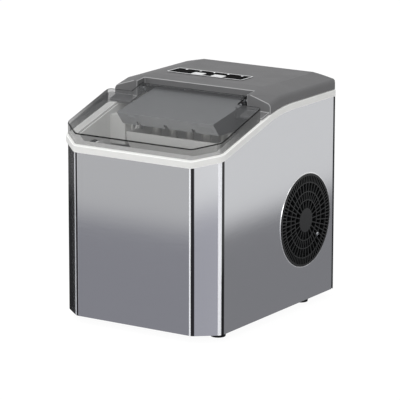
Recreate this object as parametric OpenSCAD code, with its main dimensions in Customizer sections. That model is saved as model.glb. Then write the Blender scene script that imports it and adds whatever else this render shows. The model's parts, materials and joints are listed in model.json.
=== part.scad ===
// Countertop bullet-ice maker. Millimetres, +Z up, the front faces -Y.
// Origin: on the table, under the middle of the machine.

/* [Body] */
// Width across the steel sides
body_w = 224; // [220:1:250]
// Depth from the front sheet to the back edge of the side sheets
body_d = 282; // [280:1:300]
// Gap under the base pan, which is the height of the feet
foot_h = 9; // [6:0.5:14]
// Width that the bevelled front corner takes off the front
corner_x = 28; // [20:1:34]
// Depth that the bevelled front corner takes off the side
corner_y = 23; // [18:1:30]
// Outside radius of the sheet's front bends
bend_r = 11; // [6:0.5:14]
// Outside radius of the two rear edges
rear_r = 4; // [2:0.5:8]
// Thickness of the steel sheet
steel_t = 0.8; // [0.5:0.1:1.2]
// Thickness of the rear panel
rear_panel_t = 1.2; // [0.8:0.1:1.5]
// Thickness of the base pan
pan_t = 2.5; // [1.5:0.1:4]
// Clearance between parts that are fitted side by side
clear = 0.3; // [0.2:0.05:0.5]

/* [Top line] */
// Height of the trim's upper edge at the front
front_z = 221.5; // [215:0.1:230]
// Rise per unit of depth of the sloping front stretch
top_slope = 0.29; // [0.24:0.01:0.34]
// Rise of the trim's upper edge from the front to the back
rear_rise = 43.9; // [41:0.1:47]
// Radius of the curve between the slope and the level back
top_r = 210; // [120:5:240]

/* [Trim] */
// Height of the white band
trim_h = 8.5; // [6:0.5:12]
// How far the band stands out from the steel
trim_proud = 2.2; // [1:0.1:4]
// Width of the ledge inside the band
ledge_w = 12; // [10:0.5:14]
// Thickness of the ledge
ledge_t = 2.5; // [2:0.1:3.5]

/* [Lid] */
// Height of the lid's front upper edge above the trim
lid_stand = 14.2; // [12:0.1:16]
// Rise of the lid's flat top from the front edge to the hinge
lid_rise = 42.05; // [41:0.05:43]
// Wall of the lid
lid_t = 2.5; // [2:0.1:3]
// Distance in front of the middle where the lid's sides end
lid_end = 30; // [26:1:40]
// Distance in front of the middle where the tongue ends
tongue_end = 8.5; // [8:0.5:9]
// Distance of the hinge axis in front of the middle
hinge_back = 9; // [8.5:0.1:9.5]
// Distance of the hinge axis under the lid's flat top
hinge_drop = 6.75; // [6.5:0.05:7.5]
// Radius of the hinge pins
pin_r = 2.5; // [2:0.1:3]
// Radius of the lid's hinge ears
ear_r = 5.5; // [5:0.1:6]
// Radial play of a pin or shaft that turns in its hole
run_gap = 0.05; // [0.02:0.01:0.1]

/* [Cover] */
// Height of the cover's flat top above the trim
cover_rise = 19.1; // [18:0.1:22]
// Wall of the cover
cover_t = 2.5; // [2:0.1:3]
// Height of the cover's upright side band
cover_side = 11.5; // [9:0.5:14]
// Width of the flat between the bevelled shoulders
crown_w = 160; // [150:1:170]
// Distance in front of the middle that the hinge arms reach
arm_reach = 14; // [13:0.5:16]
// Width of the recess between the hinge arms
recess_w = 160; // [158:0.5:162]
// Distance behind the middle of the recess's back wall
recess_back = 3; // [2:0.5:4]
// Drop of the recess's back wall
recess_drop = 11; // [8:0.5:12]
// How far the cover's sides stand in from the trim
cover_inset = 0.8; // [0.4:0.1:2]

/* [Control panel] */
// Width of the black panel
panel_w = 110; // [100:1:120]
// Depth of the black panel
panel_d = 29; // [26:0.5:34]
// Place of the panel's middle across the machine
panel_x = -16; // [-20:1:16]
// Place of the panel's middle behind the middle of the machine
panel_y = 52.5; // [45:0.5:60]
// Height that the panel stands above the cover
panel_rise = 0.6; // [0.4:0.1:1]
// Width of a button
button_w = 17; // [12:0.5:20]
// Depth of a button
button_d = 11.5; // [8:0.5:13]
// Travel of a button
button_travel = 0.8; // [0.4:0.1:1]
// Distance between the two buttons' middles
button_gap = 29; // [24:1:34]
// Number of indicator windows
light_count = 5; // [3:1:6]
// Distance between the outermost window and the panel's end
light_margin = 14.2; // [13:0.1:20]

/* [Water tank] */
// Gap between the steel's outside and the inside of the tank
tank_inset = 14; // [13.5:0.5:16]
// Distance behind the middle of the tank's back wall
tank_back = 14; // [13.5:0.5:16]
// Height of the tank's floor
tank_floor = 34; // [30:1:40]
// Wall of the tank
tank_t = 2.5; // [2:0.1:3]
// Width of the tank's rim under the trim
rim_w = 7.5; // [6:0.5:8]
// Height of the drain above the tank's floor
drain_up = 12.5; // [12:0.5:20]
// Distance of the drain in front of the middle
drain_fwd = 60; // [40:1:90]
// Radius of the drain's bore
drain_r = 5; // [4:0.5:6]

/* [Ice basket] */
// Distance between the steel's side and the basket's side
basket_side = 32; // [30:0.5:42]
// Distance between the front sheet and the basket's front wall
basket_gap = 17; // [16:0.5:23]
// Distance of the basket's back wall in front of the middle
basket_back = 74.5; // [74:0.5:84]
// Height of the basket's underside
basket_z = 92; // [80:1:110]
// Distance of the basket's rim under the trim's front edge
basket_drop = 35.5; // [33:0.1:41]
// Wall of the basket
basket_t = 2; // [1.5:0.1:2.5]

/* [Freezing unit] */
// Distance of the tray's axis in front of the middle
tray_fwd = 26; // [25.5:0.1:26.5]
// Distance of the tray's axis under the lid's flat top at the hinge
tray_drop = 51.75; // [51.5:0.05:52]
// Outside radius of the water tray
tray_r = 32; // [31:0.1:32.3]
// Wall of the water tray
tray_t = 2; // [1.5:0.1:2.2]
// Distance between the steel's side and the water tray's end
tray_side = 46; // [45.5:0.5:46.5]
// Radius of the tray's shaft
tray_shaft_r = 3; // [2.5:0.1:4]
// Radius of a freezing finger
finger_r = 5.5; // [4:0.1:5.8]
// Length of a freezing finger
finger_l = 37; // [30:0.5:37.5]
// Distance between the two rows of fingers
finger_rows = 18; // [14:0.5:18]
// Distance between the tray's end and the hood's side
hood_gap = 4; // [3.5:0.5:4.5]
// Wall of the hood
hood_t = 2.2; // [1.5:0.1:2.4]
// Slope of the hood's top
hood_slope = 0.2; // [0.18:0.01:0.21]
// Radius of the evaporator's tube
evap_tube_r = 4; // [3:0.1:4]

/* [Fan] */
// Distance of the grille's front edge behind the middle
grille_front = 14; // [13.5:0.5:18]
// Distance between the grille and the back edge of the side sheet
grille_edge = 11; // [9:0.5:14]
// Height of the fan's axis
fan_z = 112; // [100:1:118]
// Distance between the fan's tips and the grille's outside
tip_gap = 12; // [11.5:0.5:18]
// Number of blades
blade_count = 7; // [5:1:9]
// Number of slots in the innermost ring of the grille
slot_count = 20; // [14:1:22]
// Radius of the grille's closed middle
grille_hub_r = 14.4; // [10:0.2:18]
// Width of the grille's bars
bar_w = 1.3; // [0.8:0.1:1.6]

/* [Cooling unit] */
// Radius of the compressor's shell
comp_r = 44; // [38:0.5:46]
// Height of the compressor's shell
comp_h = 123; // [100:1:130]
// Number of condenser fins
fin_count = 20; // [12:1:24]
// Thickness of a fin
fin_t = 0.5; // [0.3:0.1:0.8]
// Radius of the condenser's tube
cond_tube_r = 3.5; // [3:0.1:4]

/* [Hidden] */
side_x = body_w / 2;
end_y = body_d / 2;
trim_y = end_y + trim_proud;
rear_z = front_z + rear_rise;
lid_front_z = front_z + lid_stand;
lid_rear_z = lid_front_z + lid_rise;
cover_top = rear_z + cover_rise;
tray_z = lid_rear_z - tray_drop;
basket_h = front_z - basket_drop - basket_z;
pan_top = foot_h + pan_t;
wide = body_w + 100;
slope_a = atan(top_slope);
bend_y = -trim_y + (rear_z - front_z) / top_slope;
bend_len = top_r * tan(slope_a / 2);
curve_start = bend_y - bend_len * cos(slope_a);
curve_end = bend_y + bend_len;
curve_steps = 12;
corner_l = norm([corner_x, corner_y]);
grille_r = (end_y - grille_edge - grille_front) / 2;
fan_y = grille_front + grille_r;
fan_r = grille_r - tip_gap;
grille_hole_r = grille_r - 1;
bead_w = 1.1;
bead_h = 0.7;
drain_y = -drain_fwd;
drain_z = tank_floor + drain_up;
spout_r = drain_r + 4;
flange_in = 11;
rear_screw_x = side_x - 6;
rear_screw_zs = [22, 120, rear_z - 50.4];
rear_screw_r = 1.5;
shoulder_r = 6;
back_edge_r = 5;
arm_top_drop = 4;
arm_tilt = 12;
arm_lift = 5;
arm_crown = 3;
cover_screw_r = 1.5;
cover_screw_x = side_x - 6.5;
cover_screw_ys = [50, end_y - 21];
cover_boss_r = 4;
panel_hole_in = 1.6;
vent_rows = 14;
vent_pitch = 8;
vent_w = 38;
vent_x = 6;
vent_z = 60;
foot_r = 10;
foot_x = side_x - 20;
foot_ys = [-end_y + 46, end_y - 45];
foot_screw_r = 2;
foot_head_r = 4;
foot_recess = 4;
button_xs = [panel_x - button_gap / 2 + 1.8, panel_x + button_gap / 2 + 1.8];
button_y = panel_y - 6;
light_y = panel_y + 10.2;
light_pitch = (panel_w - 2 * light_margin) / (light_count - 1);
light_r = 1.4;
button_play = 0.3;
board_z = cover_top - cover_t - 9;
board_t = 1.6;
switch_h = 3.5;
plunger_h = 0.8;
plunger_top = board_z + board_t + switch_h + plunger_h;
button_rise = 0.4;
board_w = panel_w - 8;
board_d = panel_d - 2;
standoff_r = 2.5;
bulk_y = tank_back + tank_t + 0.5;
bulk_t = 1.5;
power_board_y = bulk_y + bulk_t + 5;
power_board_w = 60;
power_board_h = 64;
power_board_x = -side_x + 8;
bulk_top = tray_z + 30;
power_board_z = bulk_top - 88;
lid_slope = (lid_rear_z - lid_front_z) / (end_y + 1.5 - hinge_back);
hinge_z = lid_rear_z - hinge_drop;
shelf_gap = 0.6;
pin_deep = 6;
ear_gap = 2.3;
ear_w = 6.5;
ear_x = recess_w / 2 - ear_gap;
tongue_w = 2 * ear_x;
rim_t = 2;
rim_top = -ledge_t - clear;
rail_h = 3.6;
tray_w = body_w - 2 * tray_side;
boss_r = 9;
bush_r = 5.5;
bush_x0 = tray_w / 2 + 12;
tank_x = side_x - tank_inset;
nose_y = -tray_fwd - 47.5;
nose_z = tray_z + 26.4;
lip_y = -tray_fwd - 34.7;
lip_z = tray_z + 11.1;
hood_foot_z = tray_z + 10;
hood_back = tank_back - 0.3;
hood_w = tray_w + 2 * hood_gap;
notch_xs = [-hood_w / 2 + 25, -5, hood_w / 2 - 35];
plate_z = tray_z + 10;
plate_top = plate_z + 8;
plate_w = tray_w - 8;
finger_pitch = (plate_w - 28) / 4;
plate_y0 = -tray_fwd - 19;
plate_y1 = -tray_fwd + 19;
post_x = plate_w / 2 - 9;
post_y = -tray_fwd + 10;
evap_x = plate_w / 2 - 24;
evap_z = plate_top + evap_tube_r + 0.1;
evap_front = -tray_fwd - 10;
tube_end = bulk_y + bulk_t + 11.5;
end_t = 2;
hub_r = 7;
motor_x = -tray_w / 2 - 10;
motor_deep = 8;
shaft_x1 = bush_x0 + 11;
motor_half = 20;
shovel_a = -115;
shovel_span = 14;
shovel_r0 = tray_r + 3;
shovel_r1 = tray_r + 5.5;
arm_x0 = tray_w / 2 + 0.8;
arm_t = 2.6;
tooth_pitch = 12;
tooth_half = floor((arm_x0 - 4) / tooth_pitch) * tooth_pitch;
chute_r0 = shovel_r1 + 1.5;
chute_r1 = chute_r0 + 2.2;
chute_w = 2 * tank_x - 44;
chute_lap = 0.4;
chute_a0 = -125;
chute_a1 = -26;
chute_lip_y = -basket_back + 2.5;
chute_lip_z = basket_z + basket_h;
sensor_y = -85;
sensor_z = basket_z + basket_h + 20;
basket_w = body_w - 2 * basket_side;
basket_front = end_y - basket_gap;
basket_slots = 12;
basket_rows = 3;
slot_w = 4;
slot_edge = 14;
slot_x0 = -basket_w / 2 + slot_edge - slot_w / 2;
slot_pitch = (basket_w - 2 * slot_edge) / (basket_slots - 1);
row_pitch = (basket_front - basket_back - 10) / basket_rows;
grip_r = 16;
grip_t = 3;
grip_y = -(basket_front + basket_back) / 2;
grip_z = basket_z + basket_h + 18;
pump_x = tank_x - 26;
pump_y = -12;
pump_r = 16;
pump_h = 26;
hose_r = 3.5;
hose_y = 0;
hose_z = evap_z + 4;
hose_x = tank_x - 12;
outlet_x = tray_w / 2 - 8;
cap_t = 1.1;
cap_face = side_x + trim_proud;
spout_end = cap_face - cap_t - 0.1;
grille_face = side_x + 1.2;
grille_back = side_x - 4;
ring_span = grille_r - grille_hub_r;
ring_rs = [grille_hub_r, grille_hub_r + ring_span * 0.2523, grille_hub_r + ring_span * 0.4862,
  grille_hub_r + ring_span * 0.7523, grille_r - 2.6 + bar_w / 2];
slot_shares = [1, 2, 2, 4];
fan_screw_r = ring_rs[2];
fan_screw_a = -40;
pad_r = 3.2;
small_screw_r = 1.3;
head_t = 0.9;
bracket_x0 = grille_back - 4.5;
bracket_t = 2.5;
bracket_bar = 8;
motor_r = 17;
fan_motor_l = 21;
fan_motor_x = bracket_x0 - fan_motor_l;
fan_shaft_r = 1.6;
blade_x0 = fan_motor_x - 20.5;
blade_w = 16;
duct_half = fan_r + 5;
duct_t = 2;
fins_x1 = side_x - 56;
duct_x0 = fins_x1 + 0.5;
duct_x1 = grille_back - 0.5;
plate_x = blade_x0 + blade_w / 2;
fins_x0 = fins_x1 - 26;
fins_y0 = bulk_y + 16;
fins_y1 = end_y - 28;
fins_z0 = fan_z - grille_r + 8;
fins_z1 = fan_z + grille_r - 8;
tube_rows = 6;
tube_top = grille_r - 16;
tube_step = 2 * tube_top / (tube_rows - 1);
port_y = fins_y0 - 2;
run_y = fins_y0 - 7;
tube_xs = [fins_x1 - 6.5, fins_x0 + 6.5];
side_plate_t = 1.5;
comp_x = -side_x * 3 / 7;
comp_y = fan_y + 6;
comp_z = pan_top + 12.5 + 3;
comp_foot = comp_r - 2;
comp_bolt_r = 3;
comp_round = 20;
grommet_h = 12.5;
suction_port = [comp_x - 20, comp_y - 18];
discharge_port = [comp_x + 18, comp_y - 16];
port_top = comp_z + comp_h + 10;
drier_x = fins_x0 - 10;
drier_y = fins_y0 - 5;
drier_z0 = 60;
drier_z1 = 120;
line_r = 3;
liquid_r = 2.5;
hot_r = 1.6;
drier_cone = 6;
run_z = tube_z(0) + 24;
cap_low_z = drier_z0 - 14;
cap_x = drier_x - 10;
cap_y = run_y + 6;
join_y = tube_end + 8;
capillary_r = 1.2;
valve_x = fins_x0 - 2;
valve_y = fins_y0 + 1;
valve_z = run_z + 9;
cap_run_z = valve_z + 49;
inlet_x = -side_x + 42;
inlet_z = 46;
inlet_w = 27;
inlet_h = 20;
inlet_deep = 14;
inlet_face = trim_y;

// the long S-shaped line that the trim's upper edge follows

// outlines seen from above

// casing

// grey cover over the back half

// control panel

// lid

// tank, insulation and bulkhead

// freezing unit

// basket

// water circuit

// fan at the right-hand side

// condenser

// compressor

// refrigerant lines

// electrics
$fn = 64;

// ---- the long S-shaped line that the trim's upper edge follows ----
function arc_z(y) = rear_z - top_r + sqrt(top_r * top_r - (curve_end - y) * (curve_end - y));
function top_z(y) = y < curve_start ? front_z + top_slope * (y + trim_y)
  : y > curve_end ? rear_z : arc_z(y);
function top_line() = concat(
  [[-trim_y - 20, top_z(-trim_y - 20)]],
  [for (i = [0:curve_steps]) let (y = curve_start + (curve_end - curve_start) * i / curve_steps)
    [y, top_z(y)]],
  [[trim_y + 20, rear_z]]);

// A side outline, given as depth and height, drawn across the whole width
module across(w = wide) rotate([90, 0, 90]) translate([0, 0, -w / 2]) linear_extrude(w) children();

// Everything under the S-line, shifted by dz
module under_line(dz) across() translate([0, dz])
  polygon(concat([[-trim_y - 20, -40]], top_line(), [[trim_y + 20, -40]]));

// The band between two shifts of the S-line
module line_band(low, high) difference() {
  under_line(high);
  under_line(low);
}

// ---- outlines seen from above ----
function unit(v) = v / norm(v);
function half_turn(a, b, c) = acos(unit(a - b) * unit(c - b)) / 2;

// A convex outline with a true arc of its own radius at each corner
module round_poly(pts, radii) {
  n = len(pts);
  polygon([for (i = [0:n - 1])
    let (a = pts[(i + n - 1) % n], b = pts[i], c = pts[(i + 1) % n],
      t = radii[i] / tan(half_turn(a, b, c)))
    each [b + unit(a - b) * t, b + unit(c - b) * t]]);
  for (i = [0:n - 1])
    let (a = pts[(i + n - 1) % n], b = pts[i], c = pts[(i + 1) % n], h = half_turn(a, b, c))
      translate(b + unit(unit(a - b) + unit(c - b)) * radii[i] / sin(h)) circle(radii[i]);
}

module round_rect(w, d, r) round_poly(
  [[-w / 2, -d / 2], [w / 2, -d / 2], [w / 2, d / 2], [-w / 2, d / 2]], [r, r, r, r]);

// The body's outline with bevelled front corners, grown by g all round
function front_corner_x(g) = side_x - corner_x + g * (corner_l - corner_x) / corner_y;
function side_corner_y(g) = -end_y + corner_y - g * (corner_l - corner_y) / corner_x;
function plan_pts(g) = [
  [-front_corner_x(g), -end_y - g], [front_corner_x(g), -end_y - g],
  [side_x + g, side_corner_y(g)], [side_x + g, end_y + g],
  [-side_x - g, end_y + g], [-side_x - g, side_corner_y(g)]];
module plan(g) {
  front = max(bend_r + g, 1);
  rear = max(rear_r + g, 1);
  round_poly(plan_pts(g), [front, front, front, rear, rear, front]);
}
module plan_before(g, y) intersection() {
  plan(g);
  translate([-wide, -wide * 2 + y]) square([wide * 2, wide * 2]);
}

// ---- small helpers ----
module box(x0, x1, y0, y1, z0, z1) translate([x0, y0, z0]) cube([x1 - x0, y1 - y0, z1 - z0]);
// A straight run along X, Y or Z from p to q
module rod(p, q, r) {
  lo = [for (i = [0:2]) min(p[i], q[i])];
  hi = [for (i = [0:2]) max(p[i], q[i])];
  if (hi[0] > lo[0]) along_x(lo[0], hi[0], lo[1], lo[2], r);
  else if (hi[1] > lo[1]) along_y(lo[0], lo[1], hi[1], lo[2], r);
  else translate(lo) cylinder(h = hi[2] - lo[2], r = r);
}
module pipe(pts, r) {
  for (i = [0:len(pts) - 2]) rod(pts[i], pts[i + 1], r);
  for (i = [1:len(pts) - 2]) translate(pts[i]) sphere(r);
}
module along_x(x0, x1, y, z, r) translate([x0, y, z]) rotate([0, 90, 0]) cylinder(h = x1 - x0, r = r);
module along_y(x, y0, y1, z, r) translate([x, y0, z]) rotate([-90, 0, 0]) cylinder(h = y1 - y0, r = r);
module both_sides() {
  children();
  mirror([1, 0, 0]) children();
}

// ---- casing ----
module steel_sheet() difference() {
  intersection() {
    translate([0, 0, foot_h]) linear_extrude(rear_z) difference() {
      plan(0);
      plan(-steel_t);
      translate([-side_x + flange_in, 0]) square([body_w - 2 * flange_in, body_d]);
    }
    under_line(-ledge_t - clear);
  }
  along_x(0, wide, fan_y, fan_z, grille_hole_r);
  along_x(-wide, 0, drain_y, drain_z, spout_r + clear);
  both_sides() for (z = rear_screw_zs) along_y(rear_screw_x, 0, wide, z, rear_screw_r);
}
module steel_wrap() color("#a9abae") {
  steel_sheet();
  // pressed bead around the grille
  at_fan() slab_x(side_x - steel_t / 2, side_x + bead_h) difference() {
    circle(grille_r + clear + bead_w);
    circle(grille_r + clear);
  }
}

module trim_frame() color("#e4e4e2") difference() {
  union() {
    intersection() {
      linear_extrude(rear_z * 2) difference() {
        plan(trim_proud);
        plan(clear);
      }
      line_band(-trim_h, 0);
    }
    intersection() {
      linear_extrude(rear_z * 2) difference() {
        plan(trim_proud);
        plan(-ledge_w);
      }
      line_band(-ledge_t, 0);
    }
  }
  cover_screw_places() translate([0, 0, front_z]) cylinder(h = cover_top, r = cover_screw_r);
}

// ---- grey cover over the back half ----
module cover_screw_places() both_sides() for (y = cover_screw_ys)
  translate([cover_screw_x, y, 0]) children();

// Outline across the cover, inset by t: upright sides, bevelled shoulders and a flat
// top, which lies higher by lift
module cover_front(t, lift) {
  w = side_x + trim_proud - cover_inset - t;
  shoulder = rear_z + clear + cover_side - t * 0.6;
  top = cover_top + lift - t;
  intersection() {
    round_poly([[-w, -40], [w, -40], [w, shoulder], [crown_w / 2, top], [-crown_w / 2, top],
      [-w, shoulder]], [1, 1, shoulder_r, shoulder_r * 4, shoulder_r * 4, shoulder_r]);
    translate([-wide, 0]) square([wide * 2, top]);
  }
}
// Outline along the cover, inset by t: the arms dip towards the front
module cover_side_outline(t) round_poly(
  [[-arm_reach + t, -40], [trim_y - cover_inset - t, -40], [trim_y - cover_inset - t, cover_top - t],
    [recess_back + 20, cover_top - t], [-arm_reach + t, cover_top - arm_top_drop - t]],
  [1, 1, back_edge_r, 40, 1]);
module cover_solid(t) intersection() {
  linear_extrude(cover_top * 2) plan(trim_proud - cover_inset - t);
  across() cover_side_outline(t);
  rotate([90, 0, 0]) translate([0, 0, -wide]) linear_extrude(wide * 2) cover_front(t, 0);
  // the shoulders sink towards the arms' front
  translate([0, curve_end, rear_z]) rotate([90 + arm_tilt, 0, 0]) translate([0, arm_lift - rear_z, -wide])
    linear_extrude(wide * 2) cover_front(t, arm_crown);
}
module cover_recess() box(-recess_w / 2, recess_w / 2, -wide, recess_back, 0, wide * 2);
module top_cover() color("#777879") difference() {
  union() {
    difference() {
      cover_solid(0);
      cover_solid(cover_t);
    }
    intersection() {
      cover_solid(0);
      box(-recess_w / 2 - cover_t, recess_w / 2 + cover_t, -wide, recess_back + cover_t, 0, wide);
    }
    intersection() {
      cover_solid(0.5);
      union() {
        cover_screw_places() cylinder(h = cover_top, r = cover_boss_r);
        both_sides() along_x(recess_w / 2, recess_w / 2 + pin_deep + 3, -hinge_back, hinge_z, ear_r);
      }
    }
    // low shelf that closes the gap behind the lid's sides
    intersection() {
      line_band(clear, clear + cover_t);
      both_sides() box(recess_w / 2, side_x - cover_inset, -lid_end + shelf_gap, -arm_reach + 1, 0, wide);
    }
  }
  cover_recess();
  box(-recess_w / 2 - cover_t - 1, recess_w / 2 + cover_t + 1, recess_back - 1, recess_back + cover_t + 1,
    0, cover_top - recess_drop);
  under_line(clear);
  translate([panel_x, panel_y, 0]) linear_extrude(cover_top * 2)
    square([panel_w - 2 * panel_hole_in, panel_d - 2 * panel_hole_in], center = true);
  cover_screw_places() cylinder(h = cover_top - 12, r = cover_screw_r);
  both_sides() along_x(0, recess_w / 2 + pin_deep + 1, -hinge_back, hinge_z, pin_r + run_gap);
}

module rear_panel() color("#3a3b3d") difference() {
  intersection() {
    box(-side_x, side_x, end_y + 0.1, end_y + 0.1 + rear_panel_t, foot_h, rear_z - trim_h - clear);
    linear_extrude(rear_z) plan(trim_proud);
  }
  for (i = [0:vent_rows - 1], j = [0:1])
    translate([vent_x + j * (vent_w + 10), 0, vent_z + i * vent_pitch])
      cube([vent_w, wide, vent_pitch / 2]);
  box(inlet_x - inlet_w / 2 - clear, inlet_x + inlet_w / 2 + clear, 0, wide,
    inlet_z - inlet_h / 2 - clear, inlet_z + inlet_h / 2 + clear);
  both_sides() for (z = rear_screw_zs) along_y(rear_screw_x, 0, wide, z, rear_screw_r);
}

module foot_places() both_sides() for (y = foot_ys) translate([foot_x, y, 0]) children();
module comp_foot_places() for (i = [-1, 1], j = [-1, 1])
  translate([comp_x + i * comp_foot, comp_y + j * comp_foot, 0]) children();
module base_pan() color("#8f9296") difference() {
  union() {
    translate([0, 0, foot_h]) linear_extrude(pan_t) plan(-steel_t - clear);
    difference() {
      translate([0, 0, foot_h]) linear_extrude(pan_t + 6) plan(-steel_t - clear - 1);
      translate([0, 0, foot_h]) linear_extrude(pan_t + 7) plan(-steel_t - clear - 2.5);
      box(-wide, wide, -wide, tank_back + tank_t + 6, 0, wide);
    }
  }
  foot_places() cylinder(h = wide, r = foot_screw_r);
  comp_foot_places() cylinder(h = wide, r = comp_bolt_r);
}
module feet() color("#1b1b1c") foot_places() difference() {
  union() {
    cylinder(h = foot_h - 2, r1 = foot_r - 1, r2 = foot_r);
    translate([0, 0, foot_h - 2]) cylinder(h = 2, r = foot_r);
  }
  translate([0, 0, -1]) cylinder(h = foot_recess + 1, r = foot_head_r + 1);
  cylinder(h = foot_h, r = foot_screw_r);
}
module foot_screws() color("#b9bbbd") foot_places() difference() {
  union() {
    translate([0, 0, foot_recess - 2.5]) cylinder(h = 2.5, r = foot_head_r);
    translate([0, 0, foot_recess]) cylinder(h = pan_top + 3 - foot_recess, r = foot_screw_r);
  }
  translate([-2.5, -0.4, 0]) cube([5, 0.8, foot_recess - 1.5]);
}

// ---- control panel ----
function light_x(i) = panel_x + (i - (light_count - 1) / 2) * light_pitch;
module control_panel() color("#0c0c0d") difference() {
  union() {
    translate([panel_x, panel_y, cover_top]) linear_extrude(panel_rise) round_rect(panel_w, panel_d, 2);
    translate([panel_x, panel_y, cover_top - cover_t])
      linear_extrude(cover_t) round_rect(panel_w - 2 * panel_hole_in - 2 * clear,
        panel_d - 2 * panel_hole_in - 2 * clear, 1);
  }
  for (x = button_xs) translate([x, button_y, 0]) linear_extrude(wide * 2)
    square([button_w + 2 * button_play, button_d + 2 * button_play], center = true);
  for (i = [0:light_count - 1]) translate([light_x(i), light_y, 0]) cylinder(h = wide * 2, r = light_r);
}
module indicator_lenses() color("#f2f4f6") for (i = [0:light_count - 1])
  translate([light_x(i), light_y, cover_top - cover_t])
    cylinder(h = cover_t + panel_rise, r = light_r - 0.02);
module button(x) {
  translate([x, button_y, cover_top - 2]) linear_extrude(2 + panel_rise + button_rise)
    round_rect(button_w, button_d, 1.5);
  translate([x, button_y, plunger_top + button_travel + 0.2])
    cylinder(h = cover_top - 2 - plunger_top - button_travel - 0.2, r = 2.5);
}
module button_power() color("#c9cacc") button(button_xs[0]);
module button_select() color("#c9cacc") button(button_xs[1]);
module control_board() color("#1f5a36") {
  translate([panel_x - board_w / 2, panel_y - board_d / 2, board_z]) cube([board_w, board_d, board_t]);
  for (x = button_xs) translate([x, button_y, board_z + board_t]) {
    translate([-3, -3, 0]) cube([6, 6, switch_h]);
    translate([0, 0, switch_h]) cylinder(h = plunger_h, r = 1.7);
  }
  for (i = [0:light_count - 1]) translate([light_x(i), light_y, board_z + board_t])
    cylinder(h = cover_top - cover_t - clear - board_z - board_t, r = light_r);
}
module board_standoffs() color("#d8d8d4") {
  for (i = [-1, 1], j = [-1, 1])
    translate([panel_x + i * (board_w / 2 - 3), panel_y + j * (board_d / 2 - 2.6), board_z + board_t])
      cylinder(h = cover_top - cover_t - board_z - board_t, r = standoff_r);
  for (i = [4, power_board_w - 4], j = [4, power_board_h - 4])
    along_y(power_board_x + i, bulk_y + bulk_t, power_board_y, power_board_z + j, standoff_r);
}

// ---- lid ----
function lid_z(y) = lid_front_z + lid_slope * (y + end_y + 1.5);
module under_lid(dz) across() translate([0, lid_z(-end_y) + dz]) polygon([[-end_y - 60,
  -60 * lid_slope], [-end_y - 60, -300], [60, -300], [60, (end_y + 60) * lid_slope]]);
module lid_plan(t) {
  intersection() {
    plan(-t);
    translate([0, -lid_end - wide / 2 - t]) round_rect(body_w - 2 * t, wide, 6);
  }
}
module tongue_plan(t) translate([0, -tongue_end - 30 - t])
  square([tongue_w - 2 * t, 60], center = true);
module lid_shell() {
  difference() {
    intersection() {
      linear_extrude(cover_top * 2) lid_plan(0);
      under_lid(0);
    }
    intersection() {
      linear_extrude(cover_top * 2) lid_plan(lid_t);
      under_lid(-lid_t);
    }
    // the way through for the hood and the tongue
    intersection() {
      box(-tongue_w / 2 + lid_t, tongue_w / 2 - lid_t, -wide / 4, wide, 0, wide * 2);
      under_lid(-lid_t);
    }
  }
  intersection() {
    linear_extrude(cover_top * 2) tongue_plan(0);
    difference() {
      under_lid(0);
      under_lid(-lid_t);
    }
  }
  intersection() {
    both_sides() along_x(ear_x - ear_w, ear_x, -hinge_back, hinge_z, ear_r);
    under_lid(0);
  }
  intersection() {
    both_sides() box(ear_x - ear_w, ear_x, -hinge_back - ear_r, -tongue_end, hinge_z, wide);
    under_lid(0);
  }
}
module lid_window() color([0.35, 0.36, 0.37, 0.45]) difference() {
  lid_shell();
  under_line(clear + 0.1);
  along_x(-wide, wide, -hinge_back, hinge_z, pin_r + run_gap);
}
module lid_hinge_pins() color("#c4c6c8") both_sides()
  along_x(ear_x - ear_w, recess_w / 2 + pin_deep, -hinge_back, hinge_z, pin_r);

// ---- tank, insulation and bulkhead ----
module tank_outline(g) plan_before(-tank_inset + g, tank_back + g);
module pipe_holes(r) both_sides() along_y(evap_x, 0, wide, evap_z, r);
module grille_room() along_x(grille_back - 1, wide, fan_y, fan_z, grille_hole_r);
module inner_tank() color("#dcdedd") difference() {
  union() {
    intersection() {
      translate([0, 0, tank_floor - tank_t]) linear_extrude(rear_z) tank_outline(tank_t);
      under_line(rim_top);
    }
    intersection() {
      linear_extrude(rear_z) plan_before(-tank_inset + tank_t + rim_w, tank_back + tank_t);
      line_band(rim_top - rim_t, rim_top);
    }
  }
  difference() {
    translate([0, 0, tank_floor]) linear_extrude(rear_z) tank_outline(0);
    // rails that carry the basket
    both_sides() intersection() {
      translate([0, 0, basket_z - clear - rail_h]) linear_extrude(rail_h) tank_outline(1);
      box(basket_w / 2 - 4, side_x, -end_y, -basket_back + 3, 0, wide);
    }
    // boss of the tray's bush
    along_x(bush_x0, side_x - tank_inset + 1, -tray_fwd, tray_z, boss_r);
  }
  along_x(0, tank_x, -tray_fwd, tray_z, bush_r);
  along_x(-wide, 0, drain_y, drain_z, spout_r);
  pipe_holes(evap_tube_r + clear);
}
module tank_insulation() color("#e9e2c8") difference() {
  union() {
    difference() {
      translate([0, 0, pan_top + clear]) linear_extrude(rear_z)
        plan_before(-steel_t - clear, tank_back + tank_t);
      translate([0, 0, tank_floor - tank_t - clear]) linear_extrude(rear_z) tank_outline(tank_t + clear);
    }
  }
  difference() {
    linear_extrude(rear_z * 2) plan(wide);
    under_line(rim_top - rim_t - clear);
  }
  along_x(-wide, 0, drain_y, drain_z, spout_r + 3.4);
  foot_places() cylinder(h = pan_top + 4, r = foot_screw_r + 1);
  grille_room();
}
module bulkhead() color("#b4b6b8") difference() {
  box(-side_x + steel_t + clear, side_x - steel_t - clear, bulk_y, bulk_y + bulk_t, pan_top, bulk_top);
  pipe_holes(evap_tube_r + clear);
  grille_room();
}

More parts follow.
